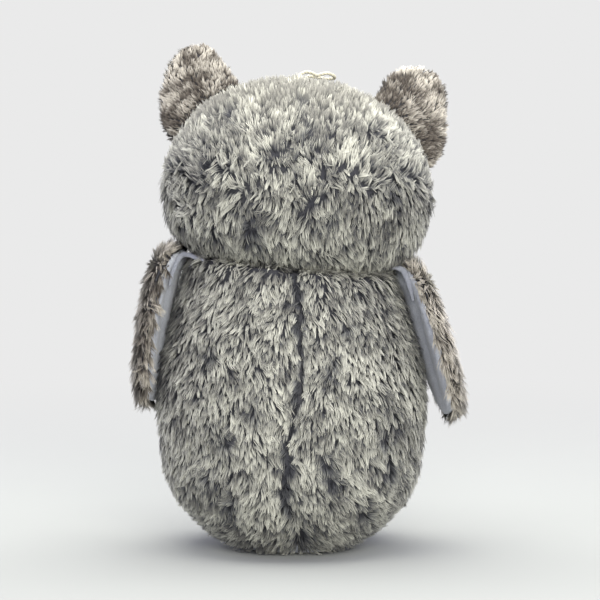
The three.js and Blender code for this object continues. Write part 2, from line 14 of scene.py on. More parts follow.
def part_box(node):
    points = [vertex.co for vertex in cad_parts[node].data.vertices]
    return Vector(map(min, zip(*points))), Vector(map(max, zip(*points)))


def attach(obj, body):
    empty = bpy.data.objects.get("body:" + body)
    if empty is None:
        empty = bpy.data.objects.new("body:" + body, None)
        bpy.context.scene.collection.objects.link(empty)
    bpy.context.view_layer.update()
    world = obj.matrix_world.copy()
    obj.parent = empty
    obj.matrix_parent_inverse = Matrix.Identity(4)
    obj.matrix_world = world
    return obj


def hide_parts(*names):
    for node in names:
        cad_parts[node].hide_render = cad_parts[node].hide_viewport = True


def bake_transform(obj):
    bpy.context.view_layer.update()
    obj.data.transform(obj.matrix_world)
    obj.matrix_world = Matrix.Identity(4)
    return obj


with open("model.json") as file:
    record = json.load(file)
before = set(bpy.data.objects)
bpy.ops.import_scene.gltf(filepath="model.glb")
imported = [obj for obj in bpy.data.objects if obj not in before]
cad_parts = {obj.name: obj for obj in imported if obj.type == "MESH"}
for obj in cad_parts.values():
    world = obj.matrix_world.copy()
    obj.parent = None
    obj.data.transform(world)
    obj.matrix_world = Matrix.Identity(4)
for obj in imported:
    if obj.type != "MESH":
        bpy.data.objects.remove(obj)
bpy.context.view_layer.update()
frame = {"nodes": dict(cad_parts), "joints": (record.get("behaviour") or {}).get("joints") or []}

MM = 0.001

# The photograph: its scale at the object, and the pixel of the middle of the base
PHOTO_SIDE = 600
PHOTO_SCALE = 0.593 * MM
BASE_PIXEL = (292, 549)

# Head: where its frame stands on the tilted neck
NECK_HEIGHT = 171.3 * MM
HEAD_OFFSET = 1.2 * MM
HEAD_TILT = math.radians(6)
HEAD = Matrix.Translation((HEAD_OFFSET, 0, NECK_HEIGHT)) @ Matrix.Rotation(-HEAD_TILT, 4, "Y")

# Hang loop, in the head's frame, in millimetres
LOOP_DIAMETER = 2.2 * MM
LOOP_ROUTE = [
    (4.2, 10.6, 101.6), (5.2, 9.5, 104.6), (6, 8.2, 107.3), (5, 5.6, 109.6), (2, 3, 111.2),
    (-1.4, 1.4, 111), (-4.2, 0.2, 110), (-7.2, -0.9, 111), (-10.8, -2.2, 111.9),
    (-14.2, -4.8, 110.9), (-14.8, -9, 109.6), (-11.6, -12.2, 108.9), (-6.4, -13, 108.9),
    (-1.4, -11.6, 109.2), (1.4, -9, 108.4), (2.2, -6.8, 105.6), (2, -5.8, 102.2),
]


def photo_point(pixel):
    """The x and z that a pixel of the photograph shows, seen from behind."""
    return (BASE_PIXEL[0] - pixel[0]) * PHOTO_SCALE, (BASE_PIXEL[1] - pixel[1]) * PHOTO_SCALE


# Camera
CAMERA_DISTANCE = 1.35
CAMERA_ELEVATION = math.radians(4.5)
SENSOR = 36 * MM
CLIP_NEAR, CLIP_FAR = 0.01, 50


def aimed(name, data, place, direction):
    """A camera or a lamp at a place, looking in a direction."""
    item = new_object(name, data)
    item.location = place
    item.rotation_mode = "QUATERNION"
    item.rotation_quaternion = direction.to_track_quat("-Z", "Y")
    return item


def make_camera():
    data = bpy.data.cameras.new("camera")
    data.sensor_width = SENSOR / MM
    data.lens = SENSOR / MM * CAMERA_DISTANCE / (PHOTO_SIDE * PHOTO_SCALE)
    data.clip_start, data.clip_end = CLIP_NEAR, CLIP_FAR
    x, z = photo_point((PHOTO_SIDE / 2, PHOTO_SIDE / 2))
    back = Vector((0, math.cos(CAMERA_ELEVATION), math.sin(CAMERA_ELEVATION)))
    place = Vector((x, 0, z)) + back * CAMERA_DISTANCE
    bpy.context.scene.camera = aimed("camera", data, place, -back)


# Node helpers, for the materials and the world
def add_node(owner, kind, inputs, **props):
    """A node with its properties set, and its inputs set or linked by name or number."""
    node = owner.node_tree.nodes.new(f"ShaderNode{kind}")
    for key, value in props.items():
        setattr(node, key, value)
    for key, value in inputs.items():
        if isinstance(value, bpy.types.NodeSocket):
            owner.node_tree.links.new(value, node.inputs[key])
        else:
            node.inputs[key].default_value = value
    return node


def new_material(name, **look):
    """A material, its shader and its output. look sets the shader's inputs, _ for a space."""
    material = bpy.data.materials.new(name)
    material.use_nodes = True
    material.node_tree.nodes.clear()
    look = {key.replace("_", " "): value for key, value in look.items()}
    shader = add_node(material, "BsdfPrincipled", look)
    return material, shader, add_node(material, "OutputMaterial", {0: shader.outputs[0]})


def link(owner, output, socket):
    owner.node_tree.links.new(output, socket)


def object_place(material):
    return add_node(material, "TexCoord", {}).outputs["Object"]


def add_bump(material, shader, grain, strength, distance):
    bump = add_node(
        material, "Bump", {"Strength": strength, "Distance": distance, "Height": grain}
    )
    link(material, bump.outputs[0], shader.inputs["Normal"])


def ramp(material, factor, stops):
    node = add_node(material, "ValToRGB", {0: factor})
    elements = node.color_ramp.elements
    while len(elements) < len(stops):
        elements.new(0.5)
    for element, (place, colour) in zip(elements, stops):
        element.position = place
        element.color = (*linear(colour), 1)
    return node.outputs[0]


def two_tone(material, factor, dark, light):
    return ramp(material, factor, [(0.3, dark), (0.7, light)])


def linear(colour):
    """Linear values of a screen colour given as three numbers up to 255."""
    shares = [c / 255 for c in colour]
    return [s / 12.92 if s <= 0.04045 else ((s + 0.055) / 1.055) ** 2.4 for s in shares]


def mixed(material, factor, first, second, blend="MIX"):
    node = add_node(
        material, "Mix", {0: factor, 6: first, 7: second}, data_type="RGBA", blend_type=blend
    )
    return node.outputs[2]


def mapped_noise(material, vector, scale, detail=3, roughness=0.6):
    inputs = {"Vector": vector, "Scale": scale, "Detail": detail, "Roughness": roughness}
    return add_node(material, "TexNoise", inputs).outputs[0]


PILE_MAP = "OFBake"
STREAKS = (260, 5, 1)
STREAK_SWING = 0.24
CLOUD_SCALE = 60
GRAIN_SHARE = 0.55
GRAIN_STOPS = [(0.25, (170, 170, 170)), (0.75, (255, 255, 255))]


def pile_material(name, dull, bright):
    """Fibre colour from root to tip. The map's u is how bright a lock is, its v runs along it."""
    material, shader, _ = new_material(
        name, Roughness=0.7, Specular_IOR_Level=0.15, Sheen_Weight=0.1, Sheen_Roughness=0.5
    )
    uv = add_node(material, "UVMap", {}, uv_map=PILE_MAP).outputs[0]
    bright_share, along, _ = add_node(material, "SeparateXYZ", {0: uv}).outputs
    streaks = add_node(material, "VectorMath", {0: uv, 1: STREAKS}, operation="MULTIPLY")
    grain = mapped_noise(material, streaks.outputs[0], 1.0)
    shifted = add_node(
        material, "Math", {0: grain, 1: STREAK_SWING, 2: -STREAK_SWING / 2},
        operation="MULTIPLY_ADD",
    ).outputs[0]
    place = add_node(material, "Math", {0: along, 1: shifted}, operation="ADD").outputs[0]
    ramps = ramp(material, place, dull), ramp(material, place, bright)
    link(material, mixed(material, bright_share, *ramps), shader.inputs["Base Color"])
    return material


def fabric_material(name, dark, light, weave, bump=0.25, sheen=0.3):
    """Short-napped cloth: cloudy colour, a fine grain and a soft bump from the same grain."""
    material, shader, _ = new_material(
        name, Roughness=0.85, Specular_IOR_Level=0.2, Sheen_Weight=sheen, Sheen_Roughness=0.4
    )
    place = object_place(material)
    clouds = mapped_noise(material, place, CLOUD_SCALE, detail=4)
    grain = mapped_noise(material, place, weave, detail=2, roughness=0.7)
    base = two_tone(material, clouds, dark, light)
    fine = ramp(material, grain, GRAIN_STOPS)
    colour = mixed(material, GRAIN_SHARE, base, fine, "MULTIPLY")
    link(material, colour, shader.inputs["Base Color"])
    add_bump(material, shader, grain, strength=bump, distance=0.4 * MM)
    return material


def gloss_material(name, dark, light, roughness, coat=0.0, scale=400):
    """Moulded plastic or waxed thread: colour and bump from fine noise, and a clear gloss."""
    material, shader, _ = new_material(
        name, Roughness=roughness, Coat_Weight=coat, Coat_Roughness=0.05
    )
    grain = mapped_noise(material, object_place(material), scale, detail=2)
    link(material, two_tone(material, grain, dark, light), shader.inputs["Base Color"])
    add_bump(material, shader, grain, strength=0.05, distance=0.1 * MM)
    return material


LONG_PILE = pile_material(
    "long_pile_fur",
    [(0.0, (24, 25, 31)), (0.45, (62, 63, 68)), (0.7, (102, 101, 96)), (1.0, (148, 146, 137))],
    [(0.0, (32, 33, 40)), (0.3, (100, 101, 101)), (0.62, (192, 191, 177)), (1.0, (243, 242, 226))],
)
EAR_PILE = pile_material(
    "ear_pile_fur",
    [(0.0, (54, 50, 49)), (0.45, (70, 64, 59)), (0.7, (98, 91, 83)), (1.0, (136, 128, 117))],
    [(0.0, (62, 58, 58)), (0.3, (112, 105, 97)), (0.62, (204, 197, 183)), (1.0, (246, 240, 226))],
)
SHORT_PILE = pile_material(
    "cream_plush",
    [(0.0, (150, 142, 130)), (0.5, (205, 197, 183)), (1.0, (226, 219, 206))],
    [(0.0, (176, 168, 154)), (0.5, (226, 219, 206)), (1.0, (243, 238, 228))],
)
DARK_BACKING = fabric_material("fur_backing", (62, 63, 70), (84, 84, 88), 1500, sheen=0)
CREAM_BACKING = fabric_material("plush_backing", (176, 168, 154), (196, 188, 174), 1500, sheen=0)
VELBOA = fabric_material("grey_velboa", (188, 192, 201), (214, 218, 226), 1100, 0.4)
# A darker copy of the grey velboa for the rolled ends of the linings: painted shade, as they lie
# under the head
SHADED_VELBOA = fabric_material("grey_velboa_painted_shade", (148, 151, 161), (172, 175, 184), 1100, 0.4)
FIBRE = fabric_material("fibre_filling", (226, 224, 218), (246, 245, 241), 900, 0.6)
POUCH_CLOTH = fabric_material("pellet_cloth", (206, 203, 194), (226, 223, 214), 2200)
FELT = fabric_material("beak_felt", (84, 74, 64), (112, 100, 87), 1800, 0.5)
EYE_PLASTIC = gloss_material("eye_plastic", (14, 11, 9), (24, 19, 16), 0.12, 0.6)
WASHER_PLASTIC = gloss_material("washer_plastic", (224, 221, 212), (236, 233, 226), 0.45)
CORD = gloss_material("loop_cord", (192, 187, 163), (216, 211, 188), 0.45, 0.1, 1800)


# Mesh helpers
def covered(mesh, material):
    mesh.materials.clear()
    mesh.materials.append(material)


def new_object(name, mesh, material=None):
    piece = bpy.data.objects.new(name, mesh)
    bpy.context.scene.collection.objects.link(piece)
    if material:
        covered(mesh, material)
    return piece


def applied(piece):
    """Puts what the modifiers make of a piece into its mesh, and drops them."""
    dependencies = bpy.context.evaluated_depsgraph_get()
    mesh = bpy.data.meshes.new_from_object(piece.evaluated_get(dependencies))
    old = piece.data
    piece.modifiers.clear()
    piece.data = mesh
    bpy.data.meshes.remove(old)
    return piece


def dropped(piece):
    mesh = piece.data
    bpy.data.objects.remove(piece)
    bpy.data.meshes.remove(mesh)


def points_of(mesh, key="co"):
    flat = np.empty(len(mesh.vertices) * 3, np.float32)
    mesh.vertices.foreach_get(key, flat)
    return flat.reshape(-1, 3).astype(float)


def normals_of(mesh):
    return points_of(mesh, "normal")


def set_points(mesh, points):
    mesh.vertices.foreach_set("co", np.asarray(points, np.float32).ravel())
    mesh.update()


def smooth_shaded(mesh):
    mesh.polygons.foreach_set("use_smooth", [True] * len(mesh.polygons))
    mesh.update()


def shape_of(*meshes):
    """One bmesh of some meshes."""
    shape = bmesh.new()
    for mesh in meshes:
        shape.from_mesh(mesh)
    return shape


def mesh_from(shape, name):
    """The mesh of a bmesh, which it frees."""
    mesh = bpy.data.meshes.new(name)
    shape.to_mesh(mesh)
    shape.free()
    return mesh


def skinned(shape, rings):
    """Faces between rings of corners and over both ends, which may be single corners."""
    for low, high in zip(rings, rings[1:]):
        count = max(len(low), len(high))
        for k in range(count):
            n = (k + 1) % count
            loop = [low[k % len(low)], low[n % len(low)], high[n % len(high)], high[k % len(high)]]
            shape.faces.new(list(dict.fromkeys(loop)))
    for end in (rings[0][::-1], rings[-1]):
        if len(end) > 1:
            shape.faces.new(end)
    bmesh.ops.recalc_face_normals(shape, faces=shape.faces)


def turned_piece(shape, name, material):
    mesh = mesh_from(shape, name)
    smooth_shaded(mesh)
    return new_object(name, mesh, material)


def circle(count):
    return [2 * math.pi * k / count for k in range(count)]


def rounded(piece):
    smooth = piece.modifiers.new("round", "SUBSURF")
    smooth.levels = smooth.render_levels = 1
    return applied(piece)


def unit(vectors):
    return vectors / np.maximum(np.linalg.norm(vectors, axis=-1, keepdims=True), 1e-9)


def tangent(vectors, facing):
    """What is left of vectors in the plane that the normals face."""
    return vectors - (vectors * facing).sum(1, keepdims=True) * facing


def bell(far, reach):
    """1 at no distance, falling off over a reach."""
    return np.exp(-((far / reach) ** 2))


def heading(path, i):
    """The direction of a path at one of its points."""
    return (path[min(i + 1, len(path) - 1)] - path[max(i - 1, 0)]).normalized()


def catmull_rom(points, steps):
    """Points along a smooth curve through all the given ones."""
    given = [Vector(p) for p in points]
    padded_ends = [2 * given[0] - given[1], *given, 2 * given[-1] - given[-2]]
    out = []
    for i in range(1, len(padded_ends) - 2):
        a, b, c, d = padded_ends[i - 1:i + 3]
        for step in range(steps):
            t = step / steps
            out.append(
                0.5 * (2 * b + (c - a) * t + (2 * a - 5 * b + 4 * c - d) * t**2
                       + (3 * b - a - 3 * c + d) * t**3)
            )
    return [*out, given[-1]]


def ripple(points, wavelength, seed, waves=14):
    """A smooth random field of about unit size at the points, and its gradient."""
    chance = np.random.default_rng(seed)
    numbers = 2 * math.pi / (wavelength * chance.uniform(0.7, 1.4, waves))
    steps = unit(chance.normal(size=(waves, 3))) * numbers[:, None]
    angles = points @ steps.T + chance.uniform(0, 2 * math.pi, waves)
    size = math.sqrt(2 / waves)
    return size * np.sin(angles).sum(1), size * np.cos(angles) @ steps


def ripples(points, *kinds):
    """The fields of several ripples, each given by its wavelength and seed."""
    return [ripple(points, *kind)[0] for kind in kinds]


# Stuffed forms: one closed skin over several solids, blown up a little between its seams
def joined(nodes):
    return shape_of(*(frame["nodes"][name].data for name in nodes))


def tree_over(nodes):
    """A search tree over the faces of several CAD nodes."""
    shape = joined(nodes)
    tree = BVHTree.FromBMesh(shape)
    shape.free()
    return tree


def remeshed(nodes, voxel, hull_of=()):
    """One even skin over some solids and over the hulls of others."""
    shape = joined(nodes)
    for name in hull_of:
        part = joined([name])
        hull = bmesh.ops.convex_hull(part, input=part.verts)
        spare = [g for g in hull["geom_interior"] if isinstance(g, bmesh.types.BMVert)]
        bmesh.ops.delete(part, geom=spare, context="VERTS")
        mesh = mesh_from(part, "hull")
        shape.from_mesh(mesh)
        bpy.data.meshes.remove(mesh)
    form = new_object("form", mesh_from(shape, "form"))
    remesh = form.modifiers.new("remesh", "REMESH")
    remesh.mode, remesh.voxel_size, remesh.adaptivity = "VOXEL", voxel, 0
    smooth = form.modifiers.new("smooth", "SMOOTH")
    smooth.factor, smooth.iterations = 0.5, 3
    return applied(form)


CLOTH_FRAMES = 18
CLOTH = {
    "quality": 4, "mass": 0.2, "tension_stiffness": 8, "compression_stiffness": 8,
    "shear_stiffness": 4, "bending_stiffness": 0.2, "use_pressure": True,
}


def blown_up(form, held, pressure, cap):
    """Runs cloth with a little air pressure; held is how firmly each point stays, from 0 to 1."""
    before = points_of(form.data)
    group = form.vertex_groups.new(name="held")
    for index, weight in enumerate(held):
        group.add([index], float(weight), "REPLACE")
    cloth = form.modifiers.new("cloth", "CLOTH")
    settings = cloth.settings
    for key, value in CLOTH.items():
        setattr(settings, key, value)
    settings.uniform_pressure_force = pressure
    settings.vertex_group_mass = "held"
    settings.effector_weights.gravity = 0
    cloth.point_cache.frame_start = 1
    cloth.point_cache.frame_end = CLOTH_FRAMES
    for number in range(1, CLOTH_FRAMES + 1):
        bpy.context.scene.frame_set(number)
    applied(form)
    moved = points_of(form.data) - before
    length = np.linalg.norm(moved, axis=1, keepdims=True)
    set_points(form.data, before + moved * np.minimum(1, cap / np.maximum(length, 1e-9)))
    form.vertex_groups.clear()
    bpy.context.scene.frame_set(1)


def tree_of(points):
    tree = KDTree(len(points))
    for index, point in enumerate(points):
        tree.insert(point, index)
    tree.balance()
    return tree


def distances(points, tree):
    return np.array([tree.find(point)[2] for point in points])


def seam_points(form, labels):
    """The corners where faces of two panels meet."""
    shape = shape_of(form.data)
    found = []
    for edge in shape.edges:
        sides = {labels[face.index] for face in edge.link_faces}
        if len(sides) > 1:
            found.extend(vertex.co.copy() for vertex in edge.verts)
    shape.free()
    return found


def labelled(form, covers, choose=None):
    """For each face, the cover whose solid lies nearest, or what choose makes of that."""
    trees = {name: tree_over([name]) for name in covers}
    labels = []
    for face in form.data.polygons:
        centre = face.center
        nearest = min(covers, key=lambda name: trees[name].find_nearest(centre)[3])
        labels.append(choose(nearest, centre) if choose else nearest)
    return labels


def finished(piece, body, nodes=(), padded=None):
    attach(piece, body)
    if nodes:
        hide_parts(*nodes)


def dressed(form, name, material, body, nodes, padded=None):
    """Makes a form itself a piece."""
    form.name = name
    smooth_shaded(form.data)
    covered(form.data, material)
    finished(form, body, nodes, padded)


BODY_CLOTH, LIMB_CLOTH = 0.9 * MM, 0.6 * MM
BODY_PADDING, LIMB_PADDING = 0.8, 0.4


def panel(form, labels, node, name, material, body="torso",
          thickness=BODY_CLOTH, padding=BODY_PADDING):
    """One cover, cut out of a form, with its own thickness on the inside. Returns the mesh of
    its outer face."""
    shape = shape_of(form.data)
    shape.faces.ensure_lookup_table()
    spare = [face for face in shape.faces if labels[face.index] != node]
    bmesh.ops.delete(shape, geom=spare, context="FACES")
    piece = rounded(new_object(name, mesh_from(shape, name), material))
    outer = piece.data.copy()
    solid = piece.modifiers.new("cloth thickness", "SOLIDIFY")
    solid.thickness, solid.offset = thickness, -1
    applied(piece)
    smooth_shaded(piece.data)
    finished(piece, body, [node], padding)
    return outer


# Fur
def triangles_of(mesh):
    mesh.calc_loop_triangles()
    flat = np.empty(len(mesh.loop_triangles) * 3, np.int32)
    mesh.loop_triangles.foreach_get("vertices", flat)
    return flat.reshape(-1, 3)


def scattered(mesh, count, chance, keep=None):
    """Random places on a mesh, even over its area, with their normals."""
    points, normals, corners = points_of(mesh), normals_of(mesh), triangles_of(mesh)
    a, b, c = (points[corners[:, i]] for i in range(3))
    area = np.linalg.norm(np.cross(b - a, c - a), axis=1) / 2
    picks = chance.choice(len(corners), count, p=area / area.sum())
    first = np.sqrt(chance.random(count))
    second = chance.random(count)
    shares = np.stack([1 - first, first * (1 - second), first * second], 1)[:, :, None]
    places = (points[corners[picks]] * shares).sum(1)
    facing = unit((normals[corners[picks]] * shares).sum(1))
    if keep is None:
        return places, facing
    kept = keep(places) > chance.random(count)
    return places[kept], facing[kept]


BEND_PLACE = 0.45
RIDGE_SHARE = 0.7
ROUNDNESS = 0.15
MAP_HALF_WIDTH = 0.002
MAP_CAP = 0.006
FIBRE_FACES = ((0, 2, 1), (0, 3, 2), (0, 1, 3), (4, 1, 2), (4, 2, 3), (4, 3, 1))
FIBRE_SIDES = (0, -1, 1, 0, 0)
FIBRE_HEIGHTS = (0, BEND_PLACE, BEND_PLACE, BEND_PLACE, 1)


def fibre_mesh(name, spine, across, outward, width, shade, ends):
    """One closed, bent spindle of three sides per row: a root, a ring at the bend and a tip.
    Its normals are mostly the skin's, as light scatters through a pile. ends tells where on the
    material's ramps its root and its tip are."""
    count = len(spine)
    sides = np.array(FIBRE_SIDES)
    corners = np.empty((count, len(sides), 3))
    half = across * width[:, None]
    corners[:, 0] = spine[:, 0]
    corners[:, 1] = spine[:, 1] - half
    corners[:, 2] = spine[:, 1] + half
    corners[:, 3] = spine[:, 1] + outward * (width * RIDGE_SHARE)[:, None]
    corners[:, 4] = spine[:, 2]
    normals = unit(outward[:, None] + across[:, None] * sides[:, None] * ROUNDNESS)
    pattern = np.array(FIBRE_FACES).ravel()
    offsets = np.arange(count)[:, None] * len(FIBRE_SIDES)
    mesh = bpy.data.meshes.new(name)
    mesh.vertices.add(corners.shape[0] * corners.shape[1])
    mesh.vertices.foreach_set("co", corners.astype(np.float32).ravel())
    mesh.loops.add(count * len(pattern))
    mesh.loops.foreach_set("vertex_index", (offsets + pattern).astype(np.int32).ravel())
    mesh.polygons.add(count * len(FIBRE_FACES))
    starts = np.arange(0, count * len(pattern), len(FIBRE_FACES[0]), dtype=np.int32)
    mesh.polygons.foreach_set("loop_start", starts)
    u = shade[:, None] + sides[pattern] * MAP_HALF_WIDTH
    heights = np.array(FIBRE_HEIGHTS)[pattern]
    low, high = (end[:, None] for end in ends)
    v = low + (high - low) * heights
    layer = mesh.uv_layers.new(name=PILE_MAP)
    map_places = np.stack([u, v * (1 - 2 * MAP_CAP) + MAP_CAP], 2)
    layer.data.foreach_set("uv", map_places.astype(np.float32).ravel())
    mesh.polygons.foreach_set("use_smooth", np.ones(count * len(FIBRE_FACES), bool))
    mesh.update(calc_edges=True)
    mesh.validate()
    mesh.normals_split_custom_set_from_vertices(normals.reshape(-1, 3))
    return mesh


MOST_FIBRES = 33000
FLOOR_CLEARANCE = 0.4 * MM
ROOT_SINK = 0.5 * MM
DRIFT_REACH = 0.5 * MM
# How much single fibres turn, differ in brightness, and are drawn to their lock at the bend
FIBRE_TURN = 0.17
FIBRE_CONTRAST = 0.13
BEND_GATHER = 0.35
LEAST_GATHER = 0.2
# The spans in which sizes and rises of whole locks and of single fibres lie, and widths
LOCK_SIZES, FIBRE_SIZES = (0.78, 1.2), (0.82, 1.1)
LOCK_RISES, FIBRE_RISES = (0.7, 1.3), (0.9, 1.1)
FIBRE_WIDTHS = (0.7, 1.25)
# The least and the most rise of a fibre's lower and upper half, as angles
LOWER_RISES, UPPER_RISES = (0.05, 1.5), (0.02, 1.5)
# Waves in the fur's lie, a wide and a fine one: wavelength and seed
WIDE_RUFFLE, FINE_RUFFLE = (45 * MM, 11), (15 * MM, 12)
# Waves of brightness over the fur: size, wavelength and seed
TONE_WAVES = (
    (0.12, 6 * MM, 20), (0.15, 11 * MM, 21), (0.14, 22 * MM, 22), (0.05, 50 * MM, 23),
)


def grown(name, skin, density, seed, comb, length, width, lift, material, keep=None, shade=None,
          ruffle=(0.2, 0.2), gather=0.58, spread=0.16, contrast=0.18, waves=1.0, per_lock=5,
          ends=None, erect=None, body="torso", slot="long_pile_fur"):
    """Fur on a skin, in pointed locks of several fibres that run together towards their tips.
    density is in fibres on a square millimetre. comb gives each place its direction and how far
    it stands up there."""
    chance = np.random.default_rng(seed)
    area = sum(face.area for face in skin.polygons) / MM**2
    count = min(round(area * density), MOST_FIBRES)
    places, facing = scattered(skin, count, chance, keep)
    number = len(places)
    heads = chance.choice(number, max(number // per_lock, 1), replace=False)
    tree = tree_of(places[heads])
    owner = heads[np.array([tree.find(place)[1] for place in places])]

    direction, stand = comb(places[owner], facing[owner])
    wide, _ = ripple(places[owner], *WIDE_RUFFLE)
    fine, slope = ripple(places[owner], *FINE_RUFFLE)
    turn = ruffle[0] * wide + ruffle[1] * fine + spread * chance.normal(size=number)[owner]
    turn = turn + FIBRE_TURN * chance.normal(size=number)
    flat = unit(tangent(direction, facing))
    beside = np.cross(facing, flat)
    forward = flat * np.cos(turn)[:, None] + beside * np.sin(turn)[:, None]
    forward = unit(forward - tangent(slope, facing) * DRIFT_REACH)
    across = np.cross(facing, forward)

    def varied(values, lock_span, own_span):
        values = values * chance.uniform(*lock_span, number)[owner]
        return values * chance.uniform(*own_span, number)

    sizes = length(places, facing) if callable(length) else np.full(number, length)
    sizes = varied(sizes, LOCK_SIZES, FIBRE_SIZES)
    rise = varied(stand, LOCK_RISES, FIBRE_RISES)
    low, high = lift
    if erect:
        low = low + (high - low) * erect(facing)
    spine = np.empty((number, 3, 3))
    spine[:, 0] = places - facing * ROOT_SINK
    start = places
    halves = ((high, LOWER_RISES, BEND_PLACE), (low, UPPER_RISES, 1 - BEND_PLACE))
    for half, (lifted, span, share) in enumerate(halves, 1):
        angle = np.clip(lifted * rise, *span)
        step = np.cos(angle)[:, None] * forward + np.sin(angle)[:, None] * facing
        spine[:, half] = start + step * (sizes * share)[:, None]
        start = spine[:, half]
    drawn = (gather * np.clip(stand, LEAST_GATHER, 1))[:, None]
    spine[:, 1] += (spine[owner, 1] - spine[:, 1]) * drawn * BEND_GATHER
    spine[:, 2] += (spine[owner, 2] - spine[:, 2]) * drawn
    spine[:, :, 2] = np.maximum(spine[:, :, 2], FLOOR_CLEARANCE)

    bright = 0.5 + contrast * chance.normal(size=number)[owner]
    bright = bright + FIBRE_CONTRAST * chance.normal(size=number)
    for size, *kind in TONE_WAVES:
        bright = bright + waves * size * ripple(places[owner], *kind)[0]
    if shade is not None:
        bright = bright + shade(places, facing)
    bright = np.clip(bright, 0.01, 0.99)
    widths = width * chance.uniform(*FIBRE_WIDTHS, number) / 2
    ramp_ends = ends(places, facing) if ends else (np.zeros(number), np.ones(number))
    mesh = fibre_mesh(name, spine, across, facing, widths, bright, ramp_ends)
    finished(new_object(name, mesh, material), body)


# Combing: where the fur runs down, and the places where it parts
DOWN = np.array([0.0, 0.0, -1.0])
# Seams: how far they wander, the waves of that and of how plain they are, with their seeds,
# how plain they are in the mean and how much that swings, the least share of a seam's reach,
# and how flat the fur lies there
SEAM_WANDER = 0.8 * MM
SEAM_WAVES = ((12 * MM, 41), (9 * MM, 42))
SEAM_MEAN, SEAM_SWING = 0.9, 0.2
SEAM_LEAST = 0.3
SEAM_FLAT = 0.3
# Seams: pixels of the photograph, and how plainly the seam shows there
SEAM_ROUTE = [
    (293, 262, 0.7), (300, 300, 0.65), (300, 380, 0.65), (290, 415, 0.9), (285, 472, 1.1),
    (290, 492, 0.4), (294, 512, 0.0),
]
HEAD_SEAM_ROUTE = [
    (303, 100, 0.0), (303, 130, 0.25), (296, 170, 0.5), (299, 215, 0.25), (294, 258, 0.5),
]

# Partings: pixels of the photograph, and a radius in millimetres
BODY_PARTINGS = [
    (236, 491, 8), (328, 463, 7), (323, 444, 6), (360, 500, 9), (387, 460, 8), (379, 425, 7),
    (257, 398, 6), (228, 425, 7), (213, 465, 8), (299, 522, 11), (330, 355, 6), (345, 318, 5),
    (215, 345, 5),
]
HEAD_PARTINGS = [
    (236, 120, 6), (304, 142, 6), (330, 210, 6), (256, 222, 7), (388, 190, 5), (300, 110, 5),
]
EAR_PARTINGS = {
    "left": [(187, 88, 5), (196, 78, 3), (176, 104, 5), (170, 118, 4)],
    "right": [(386, 101, 5), (395, 84, 4), (414, 88, 3), (406, 117, 4), (428, 140, 5)],
}
# A parting's half width and half height, as shares of its radius, how far fur is turned away
# from its middle, and how flat it lies there
PARTING_WIDE, PARTING_TALL = 0.8, 1.25
PARTING_TURN = 0.8
PARTING_FLAT = 0.25


def line_x(route, heights):
    """The x of a seam at each height, from its pixels in the photograph."""
    x, z = np.array([photo_point(place) for place in route]).T
    return np.interp(heights, z[::-1], x[::-1])


def line_strength(route, heights):
    """How plainly a seam shows at each height."""
    z = [photo_point(place)[1] for place in route]
    return np.interp(heights, z[::-1], [place[2] for place in route][::-1])


def parting_share(places, px, py, radius):
    """How much a place belongs to a parting, which is taller than it is wide, and its offset."""
    x, z = photo_point((px, py))
    away = places - np.array([x, 0, z])
    away[:, 1] = 0
    far = np.hypot(away[:, 0] / PARTING_WIDE, away[:, 2] / PARTING_TALL)
    return bell(far, radius * MM) * (places[:, 1] > 0), away


def parted(places, direction, partings):
    """Turns fur away from each parting and lays it flat there."""
    stand = np.ones(len(places))
    for parting in partings:
        share, away = parting_share(places, *parting)
        direction = direction + unit(away) * (PARTING_TURN * share)[:, None]
        stand = stand - PARTING_FLAT * share
    return direction, stand


def seam_share(places, route, reach):
    """How much a place at the back belongs to a seam, and on which side of it the place is."""
    drift, patchy = ripples(places * (0, 0, 1), *SEAM_WAVES)
    gap = places[:, 0] - line_x(route, places[:, 2]) - drift * SEAM_WANDER
    strength = line_strength(route, places[:, 2]) * (SEAM_MEAN + SEAM_SWING * patchy)
    wide = reach * (SEAM_LEAST + (1 - SEAM_LEAST) * strength)
    return strength * bell(gap, wide) * (places[:, 1] > 0), np.sign(gap)


def seam_parted(places, direction, stand, route, reach, strength):
    """Fur beside a seam lies away from it and flat, so that the seam shows as a dark line."""
    share, side = seam_share(places, route, reach)
    direction = direction.copy()
    direction[:, 0] += side * share * strength
    return direction, stand - SEAM_FLAT * share


def thinned(route, reach, most):
    """A keep function: fewer fibres on a seam, and none under the rolls of lining."""
    def keep(places):
        share, _ = seam_share(places, route, reach)
        return (1 - most * share) * clear_of_rolls(places)
    return keep


def upward(facing, least=0.35, most=0.85):
    """How much a place belongs to the crown, from the way that it faces."""
    return np.clip((facing[:, 2] - least) / (most - least), 0, 1)


def topmost(facing):
    return upward(facing, 0.6, 0.88)


# Painted light: how far along its ramp a fibre on the crown starts, so that its root shows pale
CROWN_START = 0.45
# Painted shade: where on the ramps the tip of a fibre fully in shade lies, and how much shade a
# parting paints
SHADED_TIP = 0.25
PARTING_SHADE = 0.5
# The gap beside a wing's lining: the body's fur there stands up and is cut short, and towards the
# lining's back edge it is painted darker, to its tips and overall, as painted shade
GAP_START = -11 * MM
GAP_SHADE_START = -3 * MM
GAP_REACH = 7.5 * MM
GAP_SHADE_DEPTH = 1.3
GAP_STAND = 0.9
GAP_FULLNESS = 1.8
GAP_OVERREACH = 5.5 * MM
GAP_SHADE_TONE = -0.3


